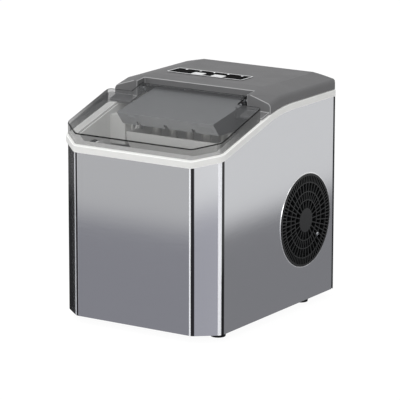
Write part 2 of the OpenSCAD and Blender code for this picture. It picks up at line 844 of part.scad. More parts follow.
// ---- freezing unit ----
// Side outline of the hood, inset by t
module hood_outline(t) intersection() {
  translate([nose_y, nose_z]) rotate(atan(hood_slope)) translate([-wide / 2, -wide - t])
    square([wide, wide]);
  translate([nose_y, nose_z]) rotate(atan2(lip_z - nose_z, lip_y - nose_y)) translate([-wide / 2, t])
    square([wide, wide]);
  translate([nose_y - 10, hood_foot_z - t]) square([hood_back - t - nose_y + 10, 60]);
}
module evaporator_hood() color("#8b8d8f") {
  difference() {
    across(hood_w) hood_outline(0);
    across(hood_w - 2 * hood_t) hood_outline(hood_t);
    pipe_holes(evap_tube_r + clear);
    for (x = notch_xs) box(x - 2.2, x + 2.2, nose_y - 5, lip_y + 6, 0, lip_z + 4);
    along_x(0, wide, hose_y, hose_z, hose_r + clear);
  }
  intersection() {
    across(hood_w - 1) hood_outline(0.5);
    both_sides() translate([post_x, post_y, plate_top]) cylinder(h = 60, r = 4);
  }
}
module evaporator_plate() color("#c8cacc") box(-plate_w / 2, plate_w / 2, plate_y0, plate_y1,
  plate_z, plate_top);
module evaporator_tube() color("#b8734a") pipe([[-evap_x, tube_end, evap_z], [-evap_x, evap_front, evap_z],
  [evap_x, evap_front, evap_z], [evap_x, tube_end, evap_z]], evap_tube_r);
module finger() {
  translate([0, 0, plate_z - finger_l + finger_r]) cylinder(h = finger_l - finger_r, r = finger_r);
  translate([0, 0, plate_z - finger_l + finger_r]) sphere(finger_r);
}
module freezing_fingers() color("#d5d7d9") {
  for (i = [-2:2]) translate([i * finger_pitch, -tray_fwd + finger_rows / 2, 0]) finger();
  for (i = [-1.5:1.5]) translate([i * finger_pitch, -tray_fwd - finger_rows / 2, 0]) finger();
}

module at_tray() translate([0, -tray_fwd, tray_z]) rotate([90, 0, 90]) children();
// An arc-shaped band in the side view, from angle a0 to a1, about the tray's axis
module arc_band(r0, r1, a0, a1) intersection() {
  difference() {
    circle(r1);
    circle(r0);
  }
  polygon([[0, 0], for (i = [0:3]) 3 * r1 * [cos(a0 + (a1 - a0) * i / 3), sin(a0 + (a1 - a0) * i / 3)]]);
}
module slab_x(x0, x1) translate([0, 0, x0]) linear_extrude(x1 - x0) children();
module water_tray() color("#cfd3d6") at_tray() difference() {
  union() {
    slab_x(-tray_w / 2, tray_w / 2) arc_band(tray_r - tray_t, tray_r, -180, 0);
    for (x = [-tray_w / 2, tray_w / 2 - end_t]) slab_x(x, x + end_t) {
      arc_band(0.01, tray_r, -180, 0);
      circle(hub_r);
    }
  }
  slab_x(-wide, wide) circle(tray_shaft_r);
}
module tray_shaft() color("#aeb1b4") {
  along_x(motor_x - motor_deep, -tray_w / 2 + end_t, -tray_fwd, tray_z, tray_shaft_r);
  along_x(tray_w / 2 - end_t, shaft_x1, -tray_fwd, tray_z, tray_shaft_r);
}
module tray_bush() color("#e8e6df") difference() {
  along_x(bush_x0, bush_x0 + 12, -tray_fwd, tray_z, bush_r - 0.02);
  along_x(0, wide, -tray_fwd, tray_z, tray_shaft_r + run_gap);
}
module tray_motor() color("#4c4e50") difference() {
  union() {
    box(-tank_x, motor_x, -tray_fwd - motor_half, -tray_fwd + motor_half, tray_z - motor_half,
      tray_z + motor_half - 4);
    along_x(motor_x, motor_x + 2, -tray_fwd, tray_z, hub_r);
  }
  along_x(motor_x - motor_deep - 0.5, 0, -tray_fwd, tray_z, tray_shaft_r + run_gap);
}
module ice_shovel() color("#d9dbdc") at_tray() difference() {
  union() {
    slab_x(-arm_x0 - arm_t, arm_x0 + arm_t)
      arc_band(shovel_r0, shovel_r1, shovel_a - shovel_span, shovel_a + shovel_span);
    for (x = [-arm_x0 - arm_t, arm_x0]) slab_x(x, x + arm_t) {
      circle(hub_r);
      rotate(shovel_a) translate([0, -hub_r]) square([shovel_r0 + 1, 2 * hub_r]);
    }
  }
  slab_x(-wide, wide) circle(tray_shaft_r + run_gap);
  for (x = [-tooth_half:tooth_pitch:tooth_half]) slab_x(x - 2, x + 2)
    rotate(shovel_a - shovel_span - 1) translate([shovel_r0 - 3, 0]) square([10, 9]);
}
// A point of the chute's side view at radius r and angle a about the tray's axis
function chute_pt(r, a) = [-tray_fwd + r * cos(a), tray_z + r * sin(a)];
module ice_chute() color("#d4d7d8") difference() {
  union() {
    at_tray() slab_x(-chute_w / 2, chute_w / 2) arc_band(chute_r0, chute_r1, chute_a0, chute_a1);
    across(chute_w) polygon([chute_pt(chute_r0 + chute_lap, chute_a0 + 2),
      chute_pt(chute_r1 - chute_lap, chute_a0 + 2), [chute_lip_y, chute_lip_z - 1.5],
      [chute_lip_y, chute_lip_z + 1]]);
    box(-chute_w / 2, chute_w / 2, chute_pt(chute_r0, chute_a1)[0] + chute_lap, tank_back,
      chute_pt(chute_r1, chute_a1)[1] + chute_lap, chute_pt(chute_r1, chute_a1)[1] + 2.5);
    both_sides() box(chute_w / 2 - 2, tank_x, -tray_fwd - 3, -tray_fwd + 7,
      tray_z - chute_r1 + chute_lap, tray_z - chute_r0 + chute_lap);
  }
  for (x = [-tooth_half:tooth_pitch:tooth_half])
    box(x - 2, x + 2, -tray_fwd - 14, -tray_fwd + 14, 0, tray_z - tray_r);
}
module ice_sensors() color("#26282a") both_sides() {
  box(tank_x - 8, tank_x, sensor_y - 5, sensor_y + 5, sensor_z, sensor_z + 10);
  along_x(tank_x - 9.5, tank_x - 8, sensor_y, sensor_z + 5, 2.5);
}

// ---- basket ----
module ice_basket() color("#eceeee") {
  difference() {
    box(-basket_w / 2, basket_w / 2, -basket_front, -basket_back, basket_z, basket_z + basket_h);
    box(-basket_w / 2 + basket_t, basket_w / 2 - basket_t, -basket_front + basket_t,
      -basket_back - basket_t, basket_z + basket_t, wide);
    for (i = [0:basket_slots - 1]) translate([slot_x0 + i * slot_pitch, 0, 0]) {
      for (k = [0:basket_rows - 1]) box(0, slot_w, -basket_front + 8 + k * row_pitch,
        -basket_front + 3 + (k + 1) * row_pitch, 0, basket_z + basket_t + 1);
      box(0, slot_w, -wide, wide, basket_z + 14, basket_z + 60);
    }
  }
  // arched finger grips at both ends
  both_sides() difference() {
    translate([basket_w / 2 - grip_t, 0, 0]) rotate([90, 0, 90]) linear_extrude(grip_t) difference() {
      union() {
        translate([grip_y, grip_z]) circle(grip_r);
        translate([grip_y - grip_r, basket_z + basket_h - 6]) square([2 * grip_r, 24]);
      }
      translate([grip_y, grip_z]) circle(grip_r - 4);
      translate([grip_y - grip_r + 4, basket_z + basket_h + 2]) square([2 * grip_r - 8, 16]);
    }
  }
}

// ---- water circuit ----
module water_pump() color("#2c2e31") {
  translate([pump_x, pump_y, tank_floor]) cylinder(h = pump_h, r = pump_r);
  translate([pump_x, pump_y, tank_floor + pump_h]) cylinder(h = 6, r = 7);
}
module water_hose() color("#c7cfd3") {
  z0 = tank_floor + pump_h + 6;
  z1 = z0 + 10;
  pipe([[pump_x, pump_y, z0], [pump_x, pump_y, z1], [hose_x, pump_y, z1], [hose_x, hose_y, z1],
    [hose_x, hose_y, hose_z], [outlet_x, hose_y, hose_z], [outlet_x, hose_y, hose_z - 10]], hose_r);
}
module drain_fitting() color("#3d4043") difference() {
  union() {
    along_x(-spout_end, -tank_x + 2, drain_y, drain_z, spout_r - 0.05);
    along_x(-tank_x, -tank_x + 2, drain_y, drain_z, spout_r + 3);
  }
  along_x(-wide, 0, drain_y, drain_z, drain_r);
}
module drain_seal() color("#202122") difference() {
  along_x(-tank_x - tank_t - 3, -tank_x - tank_t, drain_y, drain_z, spout_r + 3);
  along_x(-wide, 0, drain_y, drain_z, spout_r);
}
module drain_cap() color("#17181a") {
  along_x(-spout_end, -tank_x - 2, drain_y, drain_z, drain_r - run_gap);
  along_x(-cap_face, -spout_end - 0.1, drain_y, drain_z, spout_r + 2);
  along_x(-spout_end - 0.2, -spout_end, drain_y, drain_z, drain_r - run_gap);
}

// ---- fan at the right-hand side ----
module at_fan() translate([0, fan_y, fan_z]) rotate([90, 0, 90]) children();
module fan_screw_place() rotate(fan_screw_a) translate([fan_screw_r, 0]) children();
module fan_grille() color("#1d1e20") at_fan() difference() {
  union() {
    slab_x(grille_back, side_x) circle(grille_hole_r - clear);
    slab_x(side_x, grille_face) circle(grille_r);
  }
  slab_x(0, wide) for (k = [0:3]) difference() {
    circle(ring_rs[k + 1] - bar_w / 2);
    circle(ring_rs[k] + bar_w / 2);
    for (i = [0:slot_count * slot_shares[k] - 1]) rotate(i * 360 / (slot_count * slot_shares[k]))
      translate([0, -bar_w / 2]) square([grille_r, bar_w]);
    fan_screw_place() circle(pad_r);
  }
  slab_x(0, wide) fan_screw_place() circle(small_screw_r);
}
module grille_screw() color("#d0d2d4") at_fan() fan_screw_place() {
  slab_x(grille_face, grille_face + head_t) circle(2.2);
  slab_x(bracket_x0, grille_face) circle(small_screw_r - 0.02);
}
// A cross that spans the duct and carries the motor
module fan_bracket() color("#55585b") at_fan() difference() {
  union() {
    slab_x(bracket_x0, bracket_x0 + bracket_t) {
      circle(motor_r);
      for (a = [0, 90]) rotate(a) square([2 * (duct_half - duct_t), bracket_bar], center = true);
      rotate(fan_screw_a) translate([0, -bracket_bar / 2]) square([fan_screw_r, bracket_bar]);
      fan_screw_place() circle(bracket_bar / 2);
    }
    slab_x(bracket_x0, grille_back) fan_screw_place() circle(pad_r);
  }
  slab_x(0, wide) fan_screw_place() circle(small_screw_r);
  slab_x(0, wide) circle(4);
}
module fan_motor() color("#6a6d70") at_fan() difference() {
  union() {
    slab_x(fan_motor_x, bracket_x0) circle(motor_r);
    slab_x(fan_motor_x - 2, fan_motor_x) circle(5);
  }
  slab_x(fan_motor_x - 3, bracket_x0 - 3) circle(fan_shaft_r + run_gap);
}
module fan_shaft() color("#c3c5c7") at_fan() slab_x(blade_x0 + 1, bracket_x0 - 4) circle(fan_shaft_r);
module fan_blade() color("#2a2c2e") at_fan() difference() {
  union() {
    slab_x(blade_x0, blade_x0 + blade_w) circle(11);
    intersection() {
      for (i = [0:blade_count - 1]) rotate(i * 360 / blade_count)
        translate([fan_r / 2 + 6, 0, blade_x0 + blade_w / 2]) rotate([35, 0, 0])
          cube([fan_r, 24, 1.6], center = true);
      slab_x(blade_x0, blade_x0 + blade_w) circle(fan_r);
    }
  }
  slab_x(0, wide) circle(fan_shaft_r + 0.01);
}
module fan_shroud() color("#9a9da0") at_fan() difference() {
  slab_x(duct_x0, duct_x1) square(2 * duct_half, center = true);
  slab_x(0, plate_x) square(2 * (duct_half - duct_t), center = true);
  slab_x(plate_x + duct_t, wide) square(2 * (duct_half - duct_t), center = true);
  slab_x(0, wide) circle(fan_r + 2);
}

// ---- condenser ----
function tube_z(k) = fan_z + tube_top - k * tube_step;
module tube_holes() for (x = tube_xs, k = [0:tube_rows - 1])
  along_y(x, fins_y0 - 9, fins_y1 + 9, tube_z(k), cond_tube_r + 0.05);
module condenser_fins() color("#c9ccce") difference() {
  union() {
    for (i = [0:fin_count - 1]) let (y = fins_y0 + (fins_y1 - fins_y0) * (i + 0.5) / fin_count)
      box(fins_x0, fins_x1, y, y + fin_t, fins_z0, fins_z1);
    for (y = [fins_y0 - side_plate_t, fins_y1]) box(fins_x0, fins_x1, y, y + side_plate_t, pan_top, fins_z1);
  }
  tube_holes();
}
module u_bend(r) rotate_extrude(angle = 180) translate([r, 0]) circle(cond_tube_r);
module condenser_tube() color("#b8734a") {
  y0 = fins_y0;
  y1 = fins_y1;
  for (x = tube_xs, k = [0:tube_rows - 1])
    along_y(x, k == 0 ? port_y : y0, y1, tube_z(k), cond_tube_r);
  for (x = tube_xs, k = [0:tube_rows - 2]) {
    if (k % 2 == 0) translate([x, y1, tube_z(k + 0.5)]) rotate([90, 0, 90]) rotate(-90) u_bend(tube_step / 2);
    if (k % 2 == 1) translate([x, y0, tube_z(k + 0.5)]) rotate([90, 0, 90]) rotate(90) u_bend(tube_step / 2);
  }
  translate([(tube_xs[0] + tube_xs[1]) / 2, y0, tube_z(tube_rows - 1)]) rotate(180)
    u_bend((tube_xs[0] - tube_xs[1]) / 2);
}

// ---- compressor ----
module compressor() color("#18191b") difference() {
  union() {
    translate([comp_x, comp_y, comp_z]) {
      rotate_extrude() intersection() {
        union() {
          translate([0, comp_round]) square([comp_r, comp_h - 2 * comp_round]);
          square([comp_r - comp_round, comp_h]);
          translate([comp_r - comp_round, comp_round]) circle(comp_round);
          translate([comp_r - comp_round, comp_h - comp_round]) circle(comp_round);
        }
        square([comp_r, comp_h]);
      }
      translate([0, 0, comp_h * 0.55]) cylinder(h = 3, r = comp_r + 1.5);
      translate([0, 0, -3]) linear_extrude(3) for (a = [45, 135]) rotate(a)
        square([2 * (comp_foot * sqrt(2) + 9), 20], center = true);
      translate([0, 0, -1]) cylinder(h = comp_round, r = comp_r - comp_round + 8);
    }
    for (p = [suction_port, discharge_port]) translate([p[0], p[1], comp_z + comp_h - 8])
      cylinder(h = 18, r = 4);
  }
  comp_foot_places() cylinder(h = comp_z + 2, r = 5);
}
module compressor_grommets() color("#26272a") comp_foot_places() difference() {
  union() {
    translate([0, 0, pan_top]) cylinder(h = grommet_h, r = 8);
    translate([0, 0, pan_top + grommet_h]) cylinder(h = 3, r = 4.9);
  }
  cylinder(h = wide, r = comp_bolt_r);
}
module compressor_bolts() color("#b5b7ba") comp_foot_places() {
  translate([0, 0, foot_h]) cylinder(h = comp_z + 6 - foot_h, r = comp_bolt_r - 0.02);
  translate([0, 0, comp_z]) cylinder(h = 1.2, r = 7);
  translate([0, 0, comp_z + 1.2]) cylinder(h = 4, r = 5.5, $fn = 6);
}
module starter_cover() color("#303235") difference() {
  box(comp_x + comp_r - 6, comp_x + comp_r + 16, comp_y - 13, comp_y + 13, comp_z + 14, comp_z + 54);
  translate([comp_x, comp_y, 0]) cylinder(h = wide, r = comp_r + 0.1);
}

// ---- refrigerant lines ----
module filter_drier() color("#c07a4e") {
  translate([drier_x, drier_y, drier_z0]) cylinder(h = drier_z1 - drier_z0, r = 8);
  translate([drier_x, drier_y, drier_z0 - drier_cone]) cylinder(h = drier_cone, r1 = liquid_r, r2 = 8);
  translate([drier_x, drier_y, drier_z1]) cylinder(h = drier_cone, r1 = 8, r2 = liquid_r);
}
module hot_gas_valve() color("#7d8083") {
  box(valve_x - 7, valve_x + 7, valve_y - 7, valve_y + 7, valve_z, valve_z + 18);
  translate([valve_x, valve_y, valve_z + 18]) cylinder(h = 22, r = 11);
  box(valve_x - 4, valve_x + 4, bulk_y + bulk_t, valve_y - 7, valve_z + 5, valve_z + 13);
}
module discharge_line() color("#b8734a") pipe([[discharge_port[0], discharge_port[1], port_top],
  [discharge_port[0], discharge_port[1], run_z], [discharge_port[0], run_y, run_z],
  [tube_xs[0], run_y, run_z], [tube_xs[0], run_y, tube_z(0)], [tube_xs[0], port_y, tube_z(0)]], line_r);
module liquid_line() color("#b8734a") pipe([[tube_xs[1], port_y, tube_z(0)],
  [tube_xs[1], drier_y, tube_z(0)], [drier_x, drier_y, tube_z(0)],
  [drier_x, drier_y, drier_z1 + drier_cone]], liquid_r);
module capillary_line() color("#b8734a") pipe([[drier_x, drier_y, drier_z0 - drier_cone],
  [drier_x, drier_y, cap_low_z], [cap_x, drier_y, cap_low_z], [cap_x, cap_y, cap_low_z],
  [cap_x, cap_y, cap_run_z], [cap_x, join_y, cap_run_z], [evap_x, join_y, cap_run_z],
  [evap_x, join_y, evap_z], [evap_x, tube_end, evap_z]], capillary_r);
module suction_line() color("#b8734a") pipe([[-evap_x, tube_end, evap_z],
  [-evap_x, suction_port[1], evap_z], [suction_port[0], suction_port[1], evap_z],
  [suction_port[0], suction_port[1], port_top]], evap_tube_r);
module hot_gas_line() color("#b8734a") {
  pipe([[valve_x - 14, run_y, run_z + line_r], [valve_x - 14, run_y, valve_z + 9],
    [valve_x - 14, valve_y, valve_z + 9], [valve_x - 7, valve_y, valve_z + 9]], hot_r);
  pipe([[valve_x + 7, valve_y, valve_z + 9], [valve_x + 18, valve_y, valve_z + 9],
    [valve_x + 18, join_y + 8, valve_z + 9], [valve_x + 18, join_y + 8, evap_z - 6],
    [evap_x, join_y + 8, evap_z - 6], [evap_x, join_y + capillary_r, evap_z - 6]], hot_r);
}

// ---- electrics ----
module power_board() color("#22603a") {
  box(power_board_x, power_board_x + power_board_w, power_board_y, power_board_y + 1.6,
    power_board_z, power_board_z + power_board_h);
  box(power_board_x + 5, power_board_x + 29, power_board_y + 1.6, power_board_y + 18,
    power_board_z + 32, power_board_z + 56);
  for (z = [8, 20]) box(power_board_x + 34, power_board_x + 52, power_board_y + 1.6,
    power_board_y + 14, power_board_z + z, power_board_z + z + 10);
  for (x = [10, 22]) along_y(power_board_x + x, power_board_y + 1.6, power_board_y + 15,
    power_board_z + 16, 5);
}
module power_inlet() color("#141516") {
  difference() {
    union() {
      box(inlet_x - inlet_w / 2, inlet_x + inlet_w / 2, inlet_face - 0.8 - inlet_deep, inlet_face,
        inlet_z - inlet_h / 2, inlet_z + inlet_h / 2);
      box(inlet_x - inlet_w / 2 - 3, inlet_x + inlet_w / 2 + 3, end_y + 0.1 + rear_panel_t, inlet_face,
        inlet_z - inlet_h / 2 - 3, inlet_z + inlet_h / 2 + 3);
    }
    box(inlet_x - inlet_w / 2 + 2, inlet_x + inlet_w / 2 - 2, inlet_face - inlet_deep + 1.5, wide,
      inlet_z - inlet_h / 2 + 2, inlet_z + inlet_h / 2 - 2);
  }
  for (i = [-1:1]) translate([inlet_x + i * 7 - 1, inlet_face - inlet_deep, inlet_z - 2 + (i == 0 ? 2.5 : 0)])
    cube([2, inlet_deep - 3, 4]);
}
module rear_screws() color("#b9bbbd") both_sides() for (z = rear_screw_zs) {
  along_y(rear_screw_x, end_y + 0.1 + rear_panel_t, trim_y, z, 3.2);
  along_y(rear_screw_x, end_y - 5, end_y + 0.1 + rear_panel_t, z, rear_screw_r - 0.02);
}
module cover_screws() color("#b9bbbd") cover_screw_places() {
  translate([0, 0, rear_z - ledge_t - 2.2]) cylinder(h = 2.2, r = 3);
  translate([0, 0, rear_z - ledge_t]) cylinder(h = cover_top - 13 - rear_z + ledge_t, r = cover_screw_r - 0.02);
}

steel_wrap();
trim_frame();
top_cover();
rear_panel();
base_pan();
feet();
foot_screws();
control_panel();
indicator_lenses();
button_power();
button_select();
control_board();
board_standoffs();
lid_window();
lid_hinge_pins();
inner_tank();
tank_insulation();
bulkhead();
evaporator_hood();
evaporator_plate();
evaporator_tube();
freezing_fingers();
water_tray();
tray_shaft();
tray_bush();
tray_motor();
ice_shovel();
ice_chute();
ice_basket();
ice_sensors();
water_pump();
water_hose();
drain_fitting();
drain_seal();
drain_cap();
fan_grille();
grille_screw();
fan_bracket();
fan_motor();
fan_shaft();
fan_blade();
fan_shroud();
condenser_fins();
condenser_tube();
compressor();
compressor_grommets();
compressor_bolts();
starter_cover();
filter_drier();
hot_gas_valve();
discharge_line();
liquid_line();
capillary_line();
suction_line();
hot_gas_line();
power_board();
power_inlet();
rear_screws();
cover_screws();
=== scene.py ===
import json
import math

import bmesh
import bpy
from mathutils import Matrix, Vector


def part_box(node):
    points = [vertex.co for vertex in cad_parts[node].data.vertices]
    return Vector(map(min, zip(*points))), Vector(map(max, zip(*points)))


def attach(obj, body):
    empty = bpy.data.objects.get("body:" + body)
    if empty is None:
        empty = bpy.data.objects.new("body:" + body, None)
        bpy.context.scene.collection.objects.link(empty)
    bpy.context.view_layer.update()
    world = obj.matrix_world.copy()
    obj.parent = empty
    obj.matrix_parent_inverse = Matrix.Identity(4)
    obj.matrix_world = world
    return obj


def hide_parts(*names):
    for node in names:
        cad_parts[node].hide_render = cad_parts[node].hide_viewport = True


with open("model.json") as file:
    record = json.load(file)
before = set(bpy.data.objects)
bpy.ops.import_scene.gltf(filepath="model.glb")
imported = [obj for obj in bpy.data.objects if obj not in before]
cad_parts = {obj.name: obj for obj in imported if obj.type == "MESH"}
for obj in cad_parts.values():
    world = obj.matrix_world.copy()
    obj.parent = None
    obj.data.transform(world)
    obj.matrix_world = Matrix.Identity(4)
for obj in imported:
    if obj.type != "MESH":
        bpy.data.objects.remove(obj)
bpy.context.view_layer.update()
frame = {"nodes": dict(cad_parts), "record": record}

bl_info = {
    "name": "Countertop ice maker",
    "version": (1, 0, 0),
    "blender": (4, 5, 0),
    "location": "View3D > Sidebar > Ice maker",
    "description": "Dresses the ice maker's parts and sets its studio",
    "category": "Object",
}

NODES = frame["nodes"]
PARTS = frame["record"]["subparts"]
MM = 0.001
MERGE = 0.01 * MM  # corners closer than this are one corner
FLAT = math.radians(0.5)  # faces that turn by less than this are one face
ROUND_STEPS = 2  # faces across a rounded edge
SQUARE_ON = 0.85  # a normal that points this far along an axis faces along it
NOISE_RANGE = (0.3, 0.7)  # a noise keeps almost wholly between these
WHITE = (1, 1, 1, 1)


# ---- small helpers -------------------------------------------------------------------


def linear(code):
    """A colour written as sRGB hex, turned to linear red, green and blue."""
    parts = [int(code[i:i + 2], 16) / 255 for i in (1, 3, 5)]
    return tuple(c / 12.92 if c <= 0.04045 else ((c + 0.055) / 1.055) ** 2.4 for c in parts)


def add(tree, kind, settings=None, inputs=None):
    """Adds one node, sets its settings, and sets or links its inputs."""
    made = tree.nodes.new(kind)
    for name, value in (settings or {}).items():
        setattr(made, name, value)
    for name, value in (inputs or {}).items():
        if isinstance(value, bpy.types.NodeSocket):
            tree.links.new(value, made.inputs[name])
        else:
            made.inputs[name].default_value = value
    return made


def blank(name):
    """A new material with only its Principled shader; gives the material, tree and shader."""
    made = bpy.data.materials.new(name)
    made.use_nodes = True
    tree = made.node_tree
    return made, tree, tree.nodes["Principled BSDF"]


def place(tree, stretch=(1, 1, 1)):
    """Object coordinates in metres, stretched to follow a grain."""
    plain = add(tree, "ShaderNodeTexCoord").outputs["Object"]
    return add(tree, "ShaderNodeMapping", {},
               {"Vector": plain, "Scale": stretch}).outputs["Vector"]


def vary(tree, vector, size, colour, spread, detail=3):
    """A colour that drifts a little lighter and darker over patches of the given size."""
    cloud = add(tree, "ShaderNodeTexNoise", {},
                {"Vector": vector, "Scale": 1 / size, "Detail": detail})
    dark = (*(c * (1 - spread) for c in colour), 1)
    light = (*(min(c * (1 + spread), 1) for c in colour), 1)
    return add(tree, "ShaderNodeMix", {"data_type": "RGBA"},
               {0: cloud.outputs["Fac"], 6: dark, 7: light}).outputs[2]


def grain(tree, vector, size, depth):
    """A bump of the given grain size and depth, both in metres."""
    rough = add(tree, "ShaderNodeTexNoise", {}, {"Vector": vector, "Scale": 1 / size})
    return add(tree, "ShaderNodeBump", {},
               {"Height": rough.outputs["Fac"], "Distance": depth, "Strength": 1.0}
               ).outputs["Normal"]


def swing(tree, vector, size, low, high):
    """A roughness that wanders between two values over patches of the given size."""
    cloud = add(tree, "ShaderNodeTexNoise", {},
                {"Vector": vector, "Scale": 1 / size, "Detail": 2.0})
    return add(tree, "ShaderNodeMapRange", {},
               {"Value": cloud.outputs["Fac"], "From Min": NOISE_RANGE[0],
                "From Max": NOISE_RANGE[1], "To Min": low, "To Max": high}).outputs["Result"]


def only(piece):
    """Selects this piece alone and makes it active."""
    bpy.ops.object.select_all(action="DESELECT")
    piece.hide_set(False)
    piece.select_set(True)
    bpy.context.view_layer.objects.active = piece


def settle(piece, name):
    """Puts a finished piece's place into its mesh and names it."""
    only(piece)
    bpy.ops.object.transform_apply(location=True, rotation=True, scale=True)
    piece.name = name
    piece.data.name = name
    return piece


def wear(piece, *finishes):
    """Gives a piece or a CAD node its finishes, in the order of its faces' numbers."""
    slots = piece.data.materials
    for number, one in enumerate(finishes):
        if number < len(slots):
            slots[number] = one
        else:
            slots.append(one)


def seat(piece, body, slot, *finishes):
    """Finishes a new piece: its materials and body; its slot argument is not used."""
    wear(piece, *finishes)
    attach(piece, body)
    return piece


def outward(piece):
    """Turns a new piece's faces outwards."""
    only(piece)
    bpy.ops.object.mode_set(mode="EDIT")
    bpy.ops.mesh.select_all(action="SELECT")
    bpy.ops.mesh.normals_make_consistent(inside=False)
    bpy.ops.object.mode_set(mode="OBJECT")


def fitted(node, name, width, angle=30, rim=0):
    """A copy of a CAD node with its loose triangles merged and its sharp edges rounded.
    An edge is sharp where it turns by more than angle degrees, and its rounding takes the
    finish with the number rim."""
    source = NODES[node]
    piece = source.copy()
    piece.data = source.data.copy()
    piece.parent = None
    for key in list(piece.keys()):
        del piece[key]
    bpy.context.scene.collection.objects.link(piece)
    only(piece)
    bpy.ops.object.mode_set(mode="EDIT")
    bpy.ops.mesh.select_all(action="SELECT")
    bpy.ops.mesh.remove_doubles(threshold=MERGE)
    bpy.ops.mesh.dissolve_limited(angle_limit=FLAT)
    bpy.ops.object.mode_set(mode="OBJECT")
    while len(piece.data.materials) <= rim:
        piece.data.materials.append(None)
    soft = piece.modifiers.new("edge", "BEVEL")
    soft.width = width
    soft.segments = ROUND_STEPS
    soft.limit_method = "ANGLE"
    soft.angle_limit = math.radians(angle)
    soft.use_clamp_overlap = False
    soft.material = rim
    bpy.ops.object.modifier_apply(modifier="edge")
    bpy.ops.object.shade_smooth_by_angle(angle=math.radians(angle))
    flat = piece.modifiers.new("flat", "WEIGHTED_NORMAL")
    flat.keep_sharp = True
    bpy.ops.object.modifier_apply(modifier="flat")
    piece.name = name
    piece.data.name = name
    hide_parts(node)
    return piece


def heads(node):
    """Low and high corners of each separate solid of a CAD node."""
    mesh = bmesh.new()
    mesh.from_mesh(NODES[node].data)
    bmesh.ops.remove_doubles(mesh, verts=mesh.verts, dist=MERGE)
    left, found = dict.fromkeys(mesh.verts), []
    while left:
        todo, seen = [left.popitem()[0]], []
        while todo:
            one = todo.pop()
            seen.append(one.co.copy())
            for edge in one.link_edges:
                other = edge.other_vert(one)
                if other in left:
                    del left[other]
                    todo.append(other)
        found.append((Vector(min(c[i] for c in seen) for i in range(3)),
                      Vector(max(c[i] for c in seen) for i in range(3))))
    mesh.free()
    return found


def crossed(node, axis, span, depth, wide=0.9 * MM):
    """Screws with a cross recess in the high end of their heads along an axis, 0 for X and
    1 for Y. The cross is two slots of the given span, depth and width."""
    screws = dressed(node, "body", bpy.context.scene.ice_maker_sizes.screw_edge, angle=50)
    for low, high in heads(node):
        spot = (low + high) / 2
        spot[axis] = high[axis]
        for turn in (1, 2):
            bpy.ops.object.select_all(action="DESELECT")
            bpy.ops.mesh.primitive_cube_add(size=1, location=spot)
            slot = bpy.context.active_object
            size = [wide] * 3
            size[axis] = 2 * depth
            size[(axis + turn) % 3] = span
            slot.scale = size
            settle(slot, "recess")
            cut = screws.modifiers.new("recess", "BOOLEAN")
            cut.operation = "DIFFERENCE"
            cut.solver = "EXACT"
            cut.object = slot
            only(screws)
            bpy.ops.object.modifier_apply(modifier="recess")
            bpy.data.objects.remove(slot)
    return screws


# ---- sizes and colours that a user would change --------------------------------------


class IceMakerSizes(bpy.types.PropertyGroup):
    """Sizes of the dressed pieces."""

    sheet_edge: bpy.props.FloatProperty(
        name="Sheet edge", description="Rounding of the steel sheet's cut edges",
        default=0.25 * MM, min=0.05 * MM, max=1.0 * MM, unit="LENGTH", subtype="DISTANCE")
    # the bright bead is a painted highlight on the pressed bead
    bead_width: bpy.props.FloatProperty(
        name="Bead width", description="Width of the bright bead round the fan opening",
        default=2.5 * MM, min=1.0 * MM, max=6.0 * MM, unit="LENGTH", subtype="DISTANCE")
    bead_depth: bpy.props.FloatProperty(
        name="Bead depth", description="How far inwards from the grille's middle it is bright",
        default=8.0 * MM, min=2.0 * MM, max=12.0 * MM, unit="LENGTH", subtype="DISTANCE")
    moulded_edge: bpy.props.FloatProperty(
        name="Moulded edge", description="Rounding of the trim's and the cover's edges",
        default=0.7 * MM, min=0.1 * MM, max=2.0 * MM, unit="LENGTH", subtype="DISTANCE")
    lid_edge: bpy.props.FloatProperty(
        name="Lid edge", description="Rounding of the lid's edges",
        default=1.15 * MM, min=0.1 * MM, max=1.2 * MM, unit="LENGTH", subtype="DISTANCE")
    border_width: bpy.props.FloatProperty(
        name="Panel border", description="Width of the pale line round the key panel",
        default=1.5 * MM, min=0.3 * MM, max=2.0 * MM, unit="LENGTH", subtype="DISTANCE")
    border_height: bpy.props.FloatProperty(
        name="Border height", description="How far the line stands above the panel",
        default=0.25 * MM, min=0.05 * MM, max=0.3 * MM, unit="LENGTH", subtype="DISTANCE")
    border_corner: bpy.props.FloatProperty(
        name="Border corner", description="Rounding of the line's four corners",
        default=2.0 * MM, min=0.5 * MM, max=4.0 * MM, unit="LENGTH", subtype="DISTANCE")
    key_edge: bpy.props.FloatProperty(
        name="Key edge", description="Rounding of the two keys",
        default=0.5 * MM, min=0.1 * MM, max=0.8 * MM, unit="LENGTH", subtype="DISTANCE")
    hood_edge: bpy.props.FloatProperty(
        name="Hood edge", description="Rounding of the hood over the freezing fingers",
        default=0.7 * MM, min=0.1 * MM, max=1.5 * MM, unit="LENGTH", subtype="DISTANCE")
    tank_edge: bpy.props.FloatProperty(
        name="Tank edge", description="Rounding of the tank's edges",
        default=0.5 * MM, min=0.1 * MM, max=1.0 * MM, unit="LENGTH", subtype="DISTANCE")
    basket_edge: bpy.props.FloatProperty(
        name="Basket edge", description="Rounding of the basket's rim, bars and grips",
        default=0.4 * MM, min=0.1 * MM, max=0.8 * MM, unit="LENGTH", subtype="DISTANCE")
    screw_edge: bpy.props.FloatProperty(
        name="Screw edge", description="Rounding of the screws' heads",
        default=0.4 * MM, min=0.1 * MM, max=0.6 * MM, unit="LENGTH", subtype="DISTANCE")


